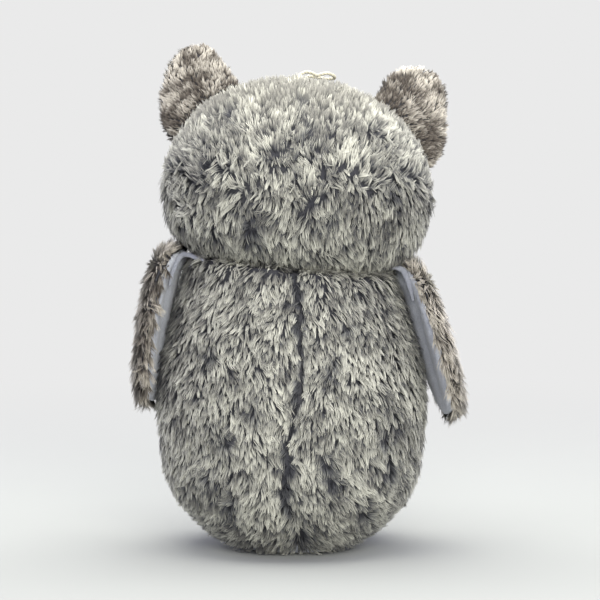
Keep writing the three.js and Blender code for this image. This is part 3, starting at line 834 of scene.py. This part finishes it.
def gap_to(node):
    """A function that tells how far places are from a solid, how much each of them belongs to
    the gap beside it, and how much painted shade each gets there, at the solid's back edge."""
    tree = tree_over([node])
    low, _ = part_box(node)

    def gap(places):
        far = np.array([tree.find_nearest(Vector(place))[3] for place in places])
        near = bell(far, GAP_REACH)
        beside = np.clip(GAP_FULLNESS * near, 0, 1)
        beside = beside * np.clip((places[:, 1] - GAP_START) / GAP_REACH, 0, 1)
        above = np.clip((places[:, 2] - low[2]) / GAP_REACH, 0, 1)
        # Painted shade beside the solid's back edge, above its bottom
        dark = near * above * np.clip((places[:, 1] - GAP_SHADE_START) / GAP_REACH, 0, 1)
        return far, beside, dark
    return gap


def pile_ends(partings=(), route=None, reach=0.0, gap=None, more=None):
    """Roots and tips of fibres on the ramps. Painted shade: fibres are dark to their tips on a
    seam, in a parting, in a gap beside another piece, and where more says. Painted light: those on
    the crown show no dark root."""
    def ends(places, facing):
        # How much painted shade each place gets
        deep = np.zeros(len(places)) if more is None else more(places)
        if route:
            deep = deep + seam_share(places, route, reach)[0]
        for parting in partings:
            deep = deep + PARTING_SHADE * parting_share(places, *parting)[0]
        if gap:
            deep = deep + GAP_SHADE_DEPTH * gap(places)[2]
        high = 1 - (1 - SHADED_TIP) * np.clip(deep, 0, GAP_SHADE_DEPTH)
        return np.minimum(CROWN_START * upward(facing), high), high
    return ends


# How far up the body's fur is combed outwards at the bottom, and how much
BOTTOM_REACH = 70 * MM
BOTTOM_TURN = 32


def comb_down(places, facing):
    return np.tile(DOWN, (len(places), 1)), np.ones(len(places))


def body_comb(places, facing):
    direction, _ = comb_down(places, facing)
    low = np.clip(1 - places[:, 2] / BOTTOM_REACH, 0, 1)
    direction[:, 0] += places[:, 0] * BOTTOM_TURN * low
    direction, stand = parted(places, direction, BODY_PARTINGS)
    return seam_parted(places, direction, stand, SEAM_ROUTE, reach=5 * MM, strength=1.0)


# Head: how far above the neck its fur is combed outwards, and how much
NECK_REACH = 50 * MM
NECK_TURN = 6
CROWN_PARTING = -16 * MM
CROWN_BLEND = 14 * MM
# The uneven line across the back of the head above which the fur runs up, and how far it wanders
DIVIDE_HEIGHT = photo_point((0, 172))[1]
DIVIDE_BLEND = 3 * MM
DIVIDE_SWING = 9 * MM
DIVIDE_STEP = 9 * MM
DIVIDE_WAVES = ((30 * MM, 43), (5.5 * MM, 44))
DIVIDE_STAND = 0.4
CROWN_FORWARD, CROWN_UPWARD = 1.2, 1.8
CROWN_STAND = 0.2
# The head's fur tone all over, then painted light on the face and painted shade on the crown and on
# its very top, for how the light falls there
HEAD_TONE = -0.12
CROWN_SHADE = -0.16
TOP_SHADE = -0.26
FRONT_LIGHT = 0.15
HEAD_LENGTH = 8.6 * MM
CROWN_LENGTH = 6.2 * MM


def head_length(places, facing):
    return HEAD_LENGTH + (CROWN_LENGTH - HEAD_LENGTH) * upward(facing)


def behind(places):
    """How much a place on the head belongs to its back rather than to its front."""
    return 0.5 + 0.5 * np.tanh((places[:, 1] - CROWN_PARTING) / CROWN_BLEND)


# Painted light on the face, painted shade on the crown and its top
def head_shade(places, facing):
    crown = CROWN_SHADE * upward(facing) + TOP_SHADE * topmost(facing)
    return HEAD_TONE + FRONT_LIGHT * (1 - behind(places)) + crown * behind(places)


def head_comb(places, facing):
    """Down, but on the upper back it runs up, on over the crown and down the face."""
    swing, step = ripples(places, *DIVIDE_WAVES)
    above = places[:, 2] - DIVIDE_HEIGHT - swing * DIVIDE_SWING - step * DIVIDE_STEP
    up = 0.5 + 0.5 * np.tanh(above / DIVIDE_BLEND)
    direction, _ = comb_down(places, facing)
    direction[:, 1] -= CROWN_FORWARD * up
    direction[:, 2] += CROWN_UPWARD * up * behind(places)
    lower = np.clip(1 - (places[:, 2] - NECK_HEIGHT) / NECK_REACH, 0, 1)
    direction[:, 0] += places[:, 0] * NECK_TURN * lower
    direction, stand = parted(places, direction, HEAD_PARTINGS)
    stand = stand + CROWN_STAND * topmost(facing) + DIVIDE_STAND * (1 - np.abs(2 * up - 1))
    return seam_parted(
        places, direction, stand, HEAD_SEAM_ROUTE, reach=3.5 * MM, strength=0.6
    )


# Body
BODY_COVERS = ("body_back_left_panel", "body_back_right_panel", "belly_panel")
HEAD_COVERS = ("head_back_left_panel", "head_back_right_panel", "face_panel")
PILE_DENSITY = 1.5
BODY_LENGTH = 8.6 * MM
FIBRE_WIDTH = 0.64 * MM
LONG_INSET = 3.2 * MM
SHORT_INSET = 1.6 * MM
BASE_INSET = 0.4 * MM
FILLING_DEPTH = 1.6 * MM
SEAM_SHIFT_REACH = 20 * MM
BODY_VOXEL = 4 * MM
LIMB_VOXEL = 2.2 * MM
INSET_SHARE = 0.3
PUCKER_WAVE = (5.5 * MM, 31)
HOLD_FULLNESS = 1.4


def thickness_of(form):
    """How far it is from each corner of a form, straight in, to its other side."""
    tree = BVHTree.FromObject(form, bpy.context.evaluated_depsgraph_get())
    found = []
    for point, normal in zip(points_of(form.data), normals_of(form.data)):
        start = Vector(point - normal * 0.2 * MM)
        hit = tree.ray_cast(start, -Vector(normal))
        found.append(hit[3] if hit[3] is not None else 1.0)
    return np.array(found)


def corner_means(mesh, values):
    """The mean at each corner of the values of the faces round it."""
    total = np.zeros(len(mesh.vertices))
    uses = np.zeros(len(mesh.vertices))
    for face, value in zip(mesh.polygons, values):
        for index in face.vertices:
            total[index] += value
            uses[index] += 1
    return total / np.maximum(uses, 1)


def seam_distances(form, labels):
    return distances(points_of(form.data), tree_of(seam_points(form, labels)))


def inset_form(form, labels, inset, seam_depth, seam_reach, pucker=0.0, share=1.0):
    """Draws a form in under its pile, by panel, and further in along its seams. share is how
    much of that each corner gets."""
    mesh = form.data
    points, normals = points_of(mesh), normals_of(mesh)
    depth = corner_means(mesh, [inset[label] for label in labels])
    depth = np.minimum(depth, INSET_SHARE * thickness_of(form))
    far = seam_distances(form, labels)
    near = bell(far, seam_reach)
    folds, = ripples(points, PUCKER_WAVE)
    depth = depth + seam_depth * near + pucker * folds * np.exp(-far / (2 * seam_reach))
    set_points(mesh, points - normals * (depth * share)[:, None])
    return far


def seam_hold(form, labels, reach):
    return np.clip(HOLD_FULLNESS - seam_distances(form, labels) / reach, 0, 1)


def filling(name, form, depth, node):
    """The filling inside a form, drawn in under the cloth."""
    depths = np.minimum(depth, INSET_SHARE * thickness_of(form))
    mesh = form.data.copy()
    set_points(mesh, points_of(mesh) - normals_of(mesh) * depths[:, None])
    smooth_shaded(mesh)
    finished(new_object(name, mesh, FIBRE), "torso", [node])


def padded_piece(node, name, material, voxel, pressure, cap, padding):
    """A small piece of the torso, blown up as a whole. Returns the mesh of its face."""
    form = remeshed([node], voxel)
    blown_up(form, np.zeros(len(form.data.vertices)), pressure, cap)
    outer = form.data.copy()
    dressed(form, name, material, "torso", [node], padding)
    return outer


def make_body():
    covers = [*BODY_COVERS, "base_panel"]
    form = remeshed([*covers, "body_stuffing", "pellet_pouch"], BODY_VOXEL)
    points = points_of(form.data)
    shift = line_x(SEAM_ROUTE, points[:, 2]) * bell(points[:, 0], SEAM_SHIFT_REACH)
    points[:, 0] += shift * (points[:, 1] > 0)
    set_points(form.data, points)

    def choose(nearest, centre):
        if not nearest.startswith("body_back"):
            return nearest
        left = centre.x > line_x(SEAM_ROUTE, centre.z)
        return "body_back_left_panel" if left else "body_back_right_panel"

    labels = labelled(form, covers, choose)
    blown_up(form, seam_hold(form, labels, reach=9 * MM), pressure=3, cap=2 * MM)
    inset = {
        "body_back_left_panel": LONG_INSET,
        "body_back_right_panel": LONG_INSET,
        "belly_panel": SHORT_INSET,
        "base_panel": BASE_INSET,
    }
    inset_form(form, labels, inset, seam_depth=1.0 * MM, seam_reach=3.5 * MM)
    filling("body_filling", form, FILLING_DEPTH, "body_stuffing")

    for seed, side in enumerate(("left", "right")):
        name = f"body_back_{side}"
        outer = panel(form, labels, f"{name}_panel", f"{name}_skin", DARK_BACKING)
        gap = gap_to(f"{side}_wing_lining")

        def comb(places, facing):
            direction, stand = body_comb(places, facing)
            return direction, stand + GAP_STAND * gap(places)[1]

        def length(places, facing):
            far, beside, _ = gap(places)
            reaching = np.minimum(far + GAP_OVERREACH, BODY_LENGTH)
            return BODY_LENGTH + (reaching - BODY_LENGTH) * beside

        # Painted shade on the body's fur beside the wing's lining
        def shade(places, facing):
            return GAP_SHADE_TONE * gap(places)[2]

        grown(
            f"{name}_pile", outer, PILE_DENSITY, 100 + seed, comb, length, FIBRE_WIDTH,
            lift=(0.28, 0.95), material=LONG_PILE, shade=shade, ruffle=(0.12, 0.16),
            keep=thinned(SEAM_ROUTE, reach=3 * MM, most=0.3),
            ends=pile_ends(BODY_PARTINGS, SEAM_ROUTE, 4 * MM, gap),
        )
    outer = panel(form, labels, "belly_panel", "belly_skin", CREAM_BACKING)
    grown(
        "belly_pile", outer, PILE_DENSITY, 110, comb_down, 5.2 * MM, FIBRE_WIDTH,
        lift=(0.4, 1.1), material=SHORT_PILE, gather=0.5, contrast=0.16, slot="cream_plush",
    )
    panel(form, labels, "base_panel", "base_skin", VELBOA)
    dropped(form)
    padded_piece(
        "pellet_pouch", "pellet_bag", POUCH_CLOTH,
        voxel=LIMB_VOXEL, pressure=2, cap=0.4 * MM, padding=0.7,
    )


# Head
DISC_X = 27.5 * MM
DISC_HEIGHT = 51 * MM
DISC_HALF_WIDTH = 25.5 * MM
DISC_HALF_HEIGHT = 28 * MM
DISC_DENSITY = 3.0
DISC_EDGE = 0.92
DISC_PILE_Y = -50 * MM
# The point from which a disc's fur is combed outwards
DISC_MIDDLE_X, DISC_MIDDLE_Y = 24 * MM, -60 * MM


def clear_of_discs(places):
    """Fur is left out under the discs round the eyes."""
    back = np.array(HEAD.inverted())
    local = places @ back[:3, :3].T + back[:3, 3]
    keep = np.ones(len(places))
    for side in (1, -1):
        across = (local[:, 0] - side * DISC_X) / DISC_HALF_WIDTH
        up = (local[:, 2] - DISC_HEIGHT) / DISC_HALF_HEIGHT
        keep[(across**2 + up**2 < DISC_EDGE) & (local[:, 1] < 0)] = 0
    return keep


def make_head():
    form = remeshed(HEAD_COVERS, BODY_VOXEL, hull_of=["head_stuffing"])
    labels = labelled(form, HEAD_COVERS)
    blown_up(form, seam_hold(form, labels, reach=8 * MM), pressure=3, cap=2 * MM)
    inset = dict.fromkeys(HEAD_COVERS, LONG_INSET)
    inset_form(form, labels, inset, seam_depth=0.8 * MM, seam_reach=3 * MM)
    filling("head_filling", form, FILLING_DEPTH, "head_stuffing")
    thin = thinned(HEAD_SEAM_ROUTE, reach=2.2 * MM, most=0.2)
    for seed, name in enumerate(("head_back_left", "head_back_right", "face")):
        outer = panel(form, labels, f"{name}_panel", f"{name}_skin", DARK_BACKING)
        grown(
            f"{name}_pile", outer, PILE_DENSITY, 200 + seed, head_comb, head_length, FIBRE_WIDTH,
            lift=(0.3, 0.95), material=LONG_PILE, shade=head_shade, ruffle=(0.16, 0.18),
            keep=thin if name != "face" else clear_of_discs, erect=topmost,
            ends=pile_ends(HEAD_PARTINGS, HEAD_SEAM_ROUTE, 3 * MM),
        )
    dropped(form)


# Ears and wings
LIMB_DENSITY = 2.0
SEAT_REACH = 4 * MM
SEAT_SINK = 2.6 * MM
FOLD_MARGIN = 3 * MM
RIM_REACH = 6 * MM
WADDING_VOXEL = 1.6 * MM
LINING_INSET = 0.3 * MM


def seating(points, low):
    """How each corner of a limb is drawn on at its seam, into the pile that it is sewn in, and
    its share of that. Below low a limb hangs free."""
    tree = tree_over([*HEAD_COVERS, *BODY_COVERS])
    moves = []
    for point in points:
        _, normal, _, gap = tree.find_nearest(Vector(point))
        share = min(max((point[2] - low) / SEAT_REACH, 0), 1)
        share *= math.exp(-((gap / SEAT_REACH) ** 2))
        moves.append((*(-normal * share * SEAT_SINK), share))
    moves = np.array(moves)
    return moves[:, :3], moves[:, 3]


def make_limb(body, parts, seed, inset, low, rim_shade_depth=0.0, fold=None, partings=(),
              trim=None, density=LIMB_DENSITY, **settings):
    """An ear or a wing. low is the height below which it hangs free, fold tells how deep its
    lining is creased, trim draws its corners back to an edge, and settings go to its fur."""
    cover, lining, _ = parts
    nodes = [f"{body}_{part}" for part in parts]
    form = remeshed(nodes, LIMB_VOXEL)
    if trim:
        set_points(form.data, trim(points_of(form.data), 0))
    labels = labelled(form, nodes[:2])
    blown_up(form, seam_hold(form, labels, reach=4 * MM), pressure=2, cap=1.2 * MM)
    seat, seat_share = seating(points_of(form.data), low)
    depth = {nodes[0]: inset, nodes[1]: LINING_INSET}
    far = inset_form(
        form, labels, depth, seam_depth=0.5 * MM, seam_reach=2 * MM, pucker=0.35 * MM,
        share=1 - seat_share,
    )
    points = points_of(form.data) + seat
    if fold:
        inner = corner_means(form.data, [label == nodes[1] for label in labels])
        inner = inner * (1 - bell(far, FOLD_MARGIN))
        points = points - normals_of(form.data) * (fold(points) * inner)[:, None]
    set_points(form.data, points)

    wadding = remeshed([nodes[2]], WADDING_VOXEL)
    if trim:
        set_points(wadding.data, trim(points_of(wadding.data), inset))
    dressed(wadding, f"{body}_filling", FIBRE, body, [nodes[2]])
    outer = panel(
        form, labels, nodes[0], f"{body}_{cover}_skin", DARK_BACKING, body,
        thickness=LIMB_CLOTH, padding=LIMB_PADDING,
    )
    rim = tree_of(seam_points(form, labels))

    # Painted shade on the fur along the rim where cover and lining meet
    def rim_shade(places):
        return rim_shade_depth * bell(distances(places, rim), RIM_REACH)

    grown(
        f"{body}_{cover}_pile", outer, density, seed, material=EAR_PILE, body=body,
        ends=pile_ends(partings, more=rim_shade), **settings,
    )
    panel(
        form, labels, nodes[1], f"{body}_{lining}_skin", VELBOA, body,
        LIMB_CLOTH, LIMB_PADDING,
    )
    dropped(form)


EAR_PARTS = ("back", "front", "wadding")
EAR_DENSITY = 3.2
EAR_FAN = 26 * MM
EAR_FAN_SHARES = (1, 0.3, 1)
EAR_ROW = 9 * MM
EAR_ROW_WAVE = (18 * MM, 51)
EAR_ROW_WANDER = 1.3
EAR_ROOT_REACH = 8 * MM
# Tones of an ear's rows of tufts, of the painted shade at its base, and of the whole ear
EAR_ROW_TONE, EAR_BASE_SHADE, EAR_TONE = 0.2, -0.5, -0.04
# The straight edge of each ear, as two pixels of the photograph, how far its fur stands past its
# form, and how that form is drawn in there
EAR_EDGES = {"left": ((209, 44), (237, 80)), "right": ((447, 78), (446, 160))}
EAR_OVERHANG = 0.9 * MM
EDGE_SOFTNESS = 2 * MM
EDGE_SHARE = 0.85


def trimmed(points, edge, depth):
    """Points past an edge in the photograph's plane, drawn back to it; depth is how far inside."""
    (x0, z0), (x1, z1) = (photo_point(pixel) for pixel in edge)
    size = math.hypot(x1 - x0, z1 - z0)
    outward = np.array([(z1 - z0) / size, 0, (x0 - x1) / size])
    past = (points - np.array([x0, 0, z0])) @ outward + EAR_OVERHANG + depth
    past = (past + np.hypot(past, EDGE_SOFTNESS)) / 2
    return points - outward * (EDGE_SHARE * past)[:, None]


def make_ear(side, seed):
    """Fur fans out from the ear's seam, in rows of darker and paler tufts, with painted shade at
    its base.
    """
    joint = next(j for j in frame["joints"] if j["name"] == f"{side}_ear_bend")
    base = np.array(joint["pos_m"])
    rise = np.cross(joint["axis"], (0, 1, 0))
    rise = rise * np.sign(rise[2])
    partings = EAR_PARTINGS[side]

    def comb(places, facing):
        direction = unit((places - base + rise * EAR_FAN) * EAR_FAN_SHARES)
        return parted(places, direction, partings)

    def shade(places, facing):
        height = (places - base) @ rise
        drift, = ripples(places, EAR_ROW_WAVE)
        rows = np.sin(2 * math.pi * height / EAR_ROW + EAR_ROW_WANDER * drift)
        # Painted shade near the ear's base, where it meets the head
        roots = bell(height, EAR_ROOT_REACH)
        return EAR_ROW_TONE * rows + EAR_BASE_SHADE * roots + EAR_TONE

    make_limb(
        f"{side}_ear", EAR_PARTS, seed, inset=2 * MM, low=0, partings=partings, comb=comb,
        length=5 * MM, width=0.52 * MM, lift=(0.35, 0.85), gather=0.5, shade=shade, waves=1.4,
        density=EAR_DENSITY, spread=0.22, per_lock=4,
        trim=lambda points, depth: trimmed(points, EAR_EDGES[side], depth),
    )


WING_PARTS = ("outside", "lining", "wadding")
OUTWARD = {"left": 1, "right": -1}
WING_SEAM_REACH = 14 * MM
WING_TUFT = 11 * MM
# A wing's fur: how far it is combed outwards and back, where its rim begins and how softly, and
# how the tufts at its top and tip rise, are drawn in and stand
WING_OUT, WING_BACK = 0.9, 0.3
WING_RIM_START, WING_RIM_BLEND = 0.1, 0.5
WING_TOP_RISE, WING_TOP_DRAW, WING_TOP_STAND = 1.7, 1.8, 0.4
WING_TIP_DRAW = 1.5
# Each wing's fur tone: the right wing is painted much lighter than the left, painted light and
# shade for how the light falls on each
WING_TONE = {"left": 0.16, "right": 0.62}
# Painted light on a wing's fur that faces down, where little light reaches
UNDERSIDE_LIGHT = 0.7
# Painted shade on a wing's fur along the rim of its lining, by side
WING_RIM_SHADE = {"left": 0.4, "right": 0.2}
WING_FRINGE = {"left": 1.4, "right": 0.6}
# The crease in a wing's lining: how far back it is at its two ends, its half width and its depth
CREASE_TOP_Y = 16 * MM
CREASE_END_Y = 8 * MM
CREASE_REACH = 5.5 * MM
CREASE_DEPTH = 2.2 * MM
CREASE_FULLNESS = 5


def make_wing(side, seed):
    low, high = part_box(f"{side}_wing_lining")

    def fold(points):
        down = np.clip((high[2] - points[:, 2]) / (high[2] - low[2]), 0, 1)
        middle = CREASE_TOP_Y + (CREASE_END_Y - CREASE_TOP_Y) * down
        across = bell(points[:, 1] - middle, CREASE_REACH)
        return CREASE_DEPTH * across * np.clip(CREASE_FULLNESS * down * (1 - down), 0, 1)

    # Each wing's tone, with painted light on fur that faces down
    def shade(places, facing):
        return WING_TONE[side] + UNDERSIDE_LIGHT * np.clip(-facing[:, 2], 0, 1)

    def comb(places, facing):
        top = bell(high[2] - places[:, 2], WING_TUFT)
        tip = bell(places[:, 2] - low[2], WING_TUFT)
        lie = DOWN + (WING_OUT * OUTWARD[side], WING_BACK, 0)
        direction = np.tile(lie, (len(places), 1))
        rim = np.clip((facing[:, 1] - WING_RIM_START) / WING_RIM_BLEND, 0, 1)
        direction[:, 0] *= 1 - WING_FRINGE[side] * rim
        direction[:, 2] += WING_TOP_RISE * top
        direction[:, 0] *= 1 - WING_TIP_DRAW * tip - WING_TOP_DRAW * top
        return direction, 1 + WING_TOP_STAND * top

    make_limb(
        f"{side}_wing", WING_PARTS, seed, inset=3.6 * MM, low=high[2] - WING_SEAM_REACH,
        rim_shade_depth=WING_RIM_SHADE[side], fold=fold, comb=comb, length=10.5 * MM,
        width=FIBRE_WIDTH, lift=(0.3, 0.85), waves=1.3, spread=0.25, shade=shade,
    )


# The end of each wing's lining, rolled into the neck seam: pixels of the photograph, then how
# far back it lies and its radius, in millimetres
ROLL_ROUTES = {
    "left": [(206, 258, 25, 0.7), (198, 256, 20, 1.2), (190, 253, 17, 1.4), (183, 254, 14.5, 1.6),
             (178, 261, 15.5, 1.6), (174, 272, 16.2, 1.2), (171, 284, 15.4, 0.7)],
    "right": [(390, 266, 15, 0.8), (396, 266, 15, 1.5), (402, 269, 15.5, 1.9),
              (406, 277, 17.5, 1.8), (409, 287, 17.3, 1.4), (412, 299, 16.2, 0.7)],
}
ROLL_CLEAR = 2 * MM
ROLL_SIDES = 14
ROLL_PUCKER = 0.08
ROLL_FLATNESS = 0.7


def roll_path(side):
    """Points along a roll in metres, each with the roll's radius there."""
    path = []
    for px, py, y, radius in ROLL_ROUTES[side]:
        x, z = photo_point((px, py))
        path.append((x, y * MM, z, radius * MM))
    return np.array(path)


def clear_of_rolls(places):
    """Fur is left out where a rolled end of lining lies."""
    left = np.ones(len(places))
    for side in OUTWARD:
        route = roll_path(side)[:, :3]
        middles = (route[:-1] + route[1:]) / 2
        far = distances(places, tree_of([*route, *middles]))
        left = left * (1 - bell(far, ROLL_CLEAR))
    return left


def make_roll(side):
    """A flattened, slightly puckered roll of lining cloth."""
    route = roll_path(side)
    path = catmull_rom(route[:, :3], steps=6)
    radii = np.interp(np.linspace(0, len(route) - 1, len(path)), range(len(route)), route[:, 3])
    shape = bmesh.new()
    rings = []
    for i, (point, radius) in enumerate(zip(path, radii)):
        forward = heading(path, i)
        across = forward.cross(Vector((0, 1, 0))).normalized()
        outward = across.cross(forward)
        ring = []
        for angle in circle(ROLL_SIDES):
            size = radius * (1 + ROLL_PUCKER * math.sin(3 * angle + 0.9 * i))
            place = across * math.cos(angle) + outward * (ROLL_FLATNESS * math.sin(angle))
            ring.append(shape.verts.new(point + place * size))
        rings.append(ring)
    skinned(shape, rings)
    # The roll is made in the darker copy of the lining's cloth: painted shade
    roll = turned_piece(shape, f"{side}_wing_roll", SHADED_VELBOA)
    start, end = tuple(path[len(path) // 3]), tuple(path[-1])
    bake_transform(roll)
    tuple(start)
    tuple(end)


SOLE_HOLD = 3 * MM
FOOT_FILLING_DEPTH = 1.2 * MM


def make_foot(side):
    form = remeshed([f"{side}_foot_cover", f"{side}_foot_stuffing"], LIMB_VOXEL)
    held = np.clip(1 - points_of(form.data)[:, 2] / SOLE_HOLD, 0, 1)
    blown_up(form, held, pressure=2, cap=1 * MM)
    filling(f"{side}_foot_filling", form, FOOT_FILLING_DEPTH, f"{side}_foot_stuffing")
    dressed(
        rounded(form), f"{side}_foot_skin", VELBOA, "torso",
        [f"{side}_foot_cover"], 0.7,
    )


def make_disc(side):
    name = f"{side}_face_disc"
    outer = padded_piece(
        name, f"{name}_skin", CREAM_BACKING,
        voxel=1.6 * MM, pressure=1, cap=0.5 * MM, padding=0.6,
    )
    middle = HEAD @ Vector((OUTWARD[side] * DISC_MIDDLE_X, DISC_MIDDLE_Y, DISC_HEIGHT))

    def comb(places, facing):
        return places - np.array(middle), np.ones(len(places))

    grown(
        f"{name}_pile", outer, DISC_DENSITY, 400, comb, 3.6 * MM, 0.7 * MM, lift=(0.35, 1.0),
        material=SHORT_PILE, ruffle=(0.1, 0.1), gather=0.4, contrast=0.14, slot="cream_plush",
        keep=lambda places: (places[:, 1] < DISC_PILE_Y).astype(float),
    )


# Hang loop and eyes
PLIES = 3
PLY_SIDES = 8
PLY_RADIUS = LOOP_DIAMETER / 2 * 0.6
PLY_ORBIT = LOOP_DIAMETER / 2 - PLY_RADIUS
PITCH = 6.5 * MM


def make_loop():
    """Three plies twisted into one cord that leaves the crown and goes back into it."""
    route = [HEAD @ (Vector(p) * MM) for p in LOOP_ROUTE]
    path = catmull_rom(route, steps=8)
    length = sum((b - a).length for a, b in zip(path, path[1:]))
    shape = bmesh.new()
    up = Vector((0, 0, 1))
    places = []
    run = 0.0
    for i, point in enumerate(path):
        forward = heading(path, i)
        up = (up - forward * up.dot(forward)).normalized()
        places.append((point, up.copy(), forward.cross(up), run))
        if i + 1 < len(path):
            run += (path[i + 1] - point).length
    for ply in range(PLIES):
        rings = []
        for point, up, beside, run in places:
            turn = 2 * math.pi * (run / PITCH + ply / PLIES)
            middle = point + PLY_ORBIT * (math.cos(turn) * up + math.sin(turn) * beside)
            rings.append([
                shape.verts.new(middle + PLY_RADIUS * (math.cos(a) * up + math.sin(a) * beside))
                for a in circle(PLY_SIDES)
            ])
        skinned(shape, rings)
    piece = turned_piece(shape, "hang_loop_cord", CORD)
    finished(piece, "torso", ["hang_loop"])
    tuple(path[0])


EYE_RADIUS, EYE_RISE, EYE_RIM = 9 * MM, 5.5 * MM, 1.4 * MM
SHANK_RADIUS = 2.3 * MM
DOME_STEPS = 14
EYE_SEGMENTS = 48
POLE = 1e-6


def make_eye(side):
    """A domed eye with a moulded rim, turned about the axis of the solid that it stands for."""
    node = frame["nodes"][f"{side}_eye"]
    points = points_of(node.data)
    centre = points.mean(0)
    _, _, axes = np.linalg.svd(points - centre)
    axis = Vector(axes[0])
    if axis.y > 0:
        axis.negate()
    along = (points - centre) @ np.array(axis)
    top = Vector(centre) + axis * float(along.max())
    radius, rise, rim, shank = EYE_RADIUS, EYE_RISE, EYE_RIM, SHANK_RADIUS
    bottom = float(along.max() - along.min())
    profile = [
        (0, -bottom), (shank, -bottom), (shank, -rise - rim), (radius - rim / 2, -rise - rim),
        (radius, -rise - rim / 2), (radius, -rise),
    ]
    for i in range(1, DOME_STEPS + 1):
        angle = math.pi / 2 * i / DOME_STEPS
        profile.append((radius * math.cos(angle), -rise + rise * math.sin(angle)))
    turn = axis.to_track_quat("Z", "Y").to_matrix().to_4x4()
    place = Matrix.Translation(top) @ turn
    shape = bmesh.new()
    rings = [
        [
            shape.verts.new(place @ Vector((r * math.cos(a), r * math.sin(a), h)))
            for a in circle(EYE_SEGMENTS if r > POLE else 1)
        ]
        for r, h in profile
    ]
    skinned(shape, rings)
    piece = turned_piece(shape, f"{side}_eye_dome", EYE_PLASTIC)
    finished(piece, "torso", [f"{side}_eye"])


# Stage and light
ROOM_TONE = (234, 234, 234)
FLOOR_TONE = (160, 162, 158)
FLOOR_SIDE = 16.0
FLOOR_CELLS = 8
FADE_NEAR = 0.15
FADE_FAR = 0.9


def any_of(owner, *outputs):
    """The largest of several node outputs."""
    largest = outputs[0]
    for other in outputs[1:]:
        largest = add_node(owner, "Math", {0: largest, 1: other}, operation="MAXIMUM").outputs[0]
    return largest


def make_stage():
    """A pale floor that keeps the object's shadow and turns into the room's tone further off."""
    shape = bmesh.new()
    bmesh.ops.create_grid(
        shape, x_segments=FLOOR_CELLS, y_segments=FLOOR_CELLS, size=FLOOR_SIDE / 2
    )
    material, shader, output = new_material("floor_paper", Roughness=0.9, Specular_IOR_Level=0.1)
    place = object_place(material)
    cloud = mapped_noise(material, place, 2.0)
    tones = [tuple(c + d for c in FLOOR_TONE) for d in (-1, 1)]
    link(material, two_tone(material, cloud, *tones), shader.inputs["Base Color"])
    glow = add_node(material, "Emission", {"Color": (*linear(ROOM_TONE), 1), "Strength": 1.0})
    far = add_node(material, "VectorMath", {0: place}, operation="LENGTH").outputs["Value"]
    fade = add_node(
        material, "MapRange", {"Value": far, "From Min": FADE_NEAR, "From Max": FADE_FAR},
        interpolation_type="SMOOTHSTEP",
    ).outputs[0]
    rays = add_node(material, "LightPath", {}).outputs
    seen = any_of(material, rays["Is Camera Ray"], rays["Is Glossy Ray"])
    share = add_node(material, "Math", {0: fade, 1: seen}, operation="MULTIPLY").outputs[0]
    mix = add_node(material, "MixShader", {0: share, 1: shader.outputs[0], 2: glow.outputs[0]})
    link(material, mix.outputs[0], output.inputs[0])
    new_object("floor", mesh_from(shape, "floor"), material)


ROOM_LIGHT = 0.68
WARM_TINT = (1.0, 0.99, 0.9)
WHITE = (1, 1, 1)
COOL_TINT = (0.9, 0.9, 1.26)
LAMPS_AIM = (0, 0, 0.15)
# Lamps: name, place, side, power and tint
LAMPS = [
    ("overhead", (0, -0.05, 1.7), 1.5, 46, WARM_TINT),
    ("key", (-0.3, 2.0, 1.1), 1.2, 34, WARM_TINT),
    ("fill", (-0.6, 1.9, 0.25), 1.2, 14, WARM_TINT),
    ("rim_left", (1.7, -0.8, 1.0), 1.2, 14, WHITE),
    ("rim_right", (-1.7, -0.8, 1.0), 1.2, 14, WHITE),
]


def make_light():
    for name, place, side, power, tint in LAMPS:
        data = bpy.data.lights.new(name, "AREA")
        data.shape, data.size, data.energy, data.color = "SQUARE", side, power, tint
        aimed(name, data, place, Vector(LAMPS_AIM) - Vector(place))
    world = bpy.data.worlds.new("room")
    bpy.context.scene.world = world
    world.use_nodes = True
    world.node_tree.nodes.clear()
    dim = add_node(world, "Background", {0: (*COOL_TINT, 1), 1: ROOM_LIGHT})
    plain = add_node(world, "Background", {0: (*linear(ROOM_TONE), 1), 1: 1.0})
    rays = add_node(world, "LightPath", {}).outputs
    seen = any_of(
        world, rays["Is Camera Ray"], rays["Is Glossy Ray"], rays["Is Transmission Ray"]
    )
    mix = add_node(world, "MixShader", {0: seen, 1: dim.outputs[0], 2: plain.outputs[0]})
    add_node(world, "OutputWorld", {0: mix.outputs[0]})


def dress_washers():
    for side in ("left", "right"):
        washer = frame["nodes"][f"{side}_eye_washer"]
        covered(washer.data, WASHER_PLASTIC)


make_camera()
make_loop()
make_body()
make_head()
for seed, side in enumerate(OUTWARD):
    make_ear(side, 300 + seed)
    make_wing(side, 310 + seed)
    make_roll(side)
    make_foot(side)
    make_disc(side)
    make_eye(side)
padded_piece(
    "beak", "beak_felt", FELT, voxel=1 * MM, pressure=1, cap=0.3 * MM, padding=0.7
)
dress_washers()
make_stage()
make_light()
bpy.context.scene.view_settings.view_transform = "Standard"
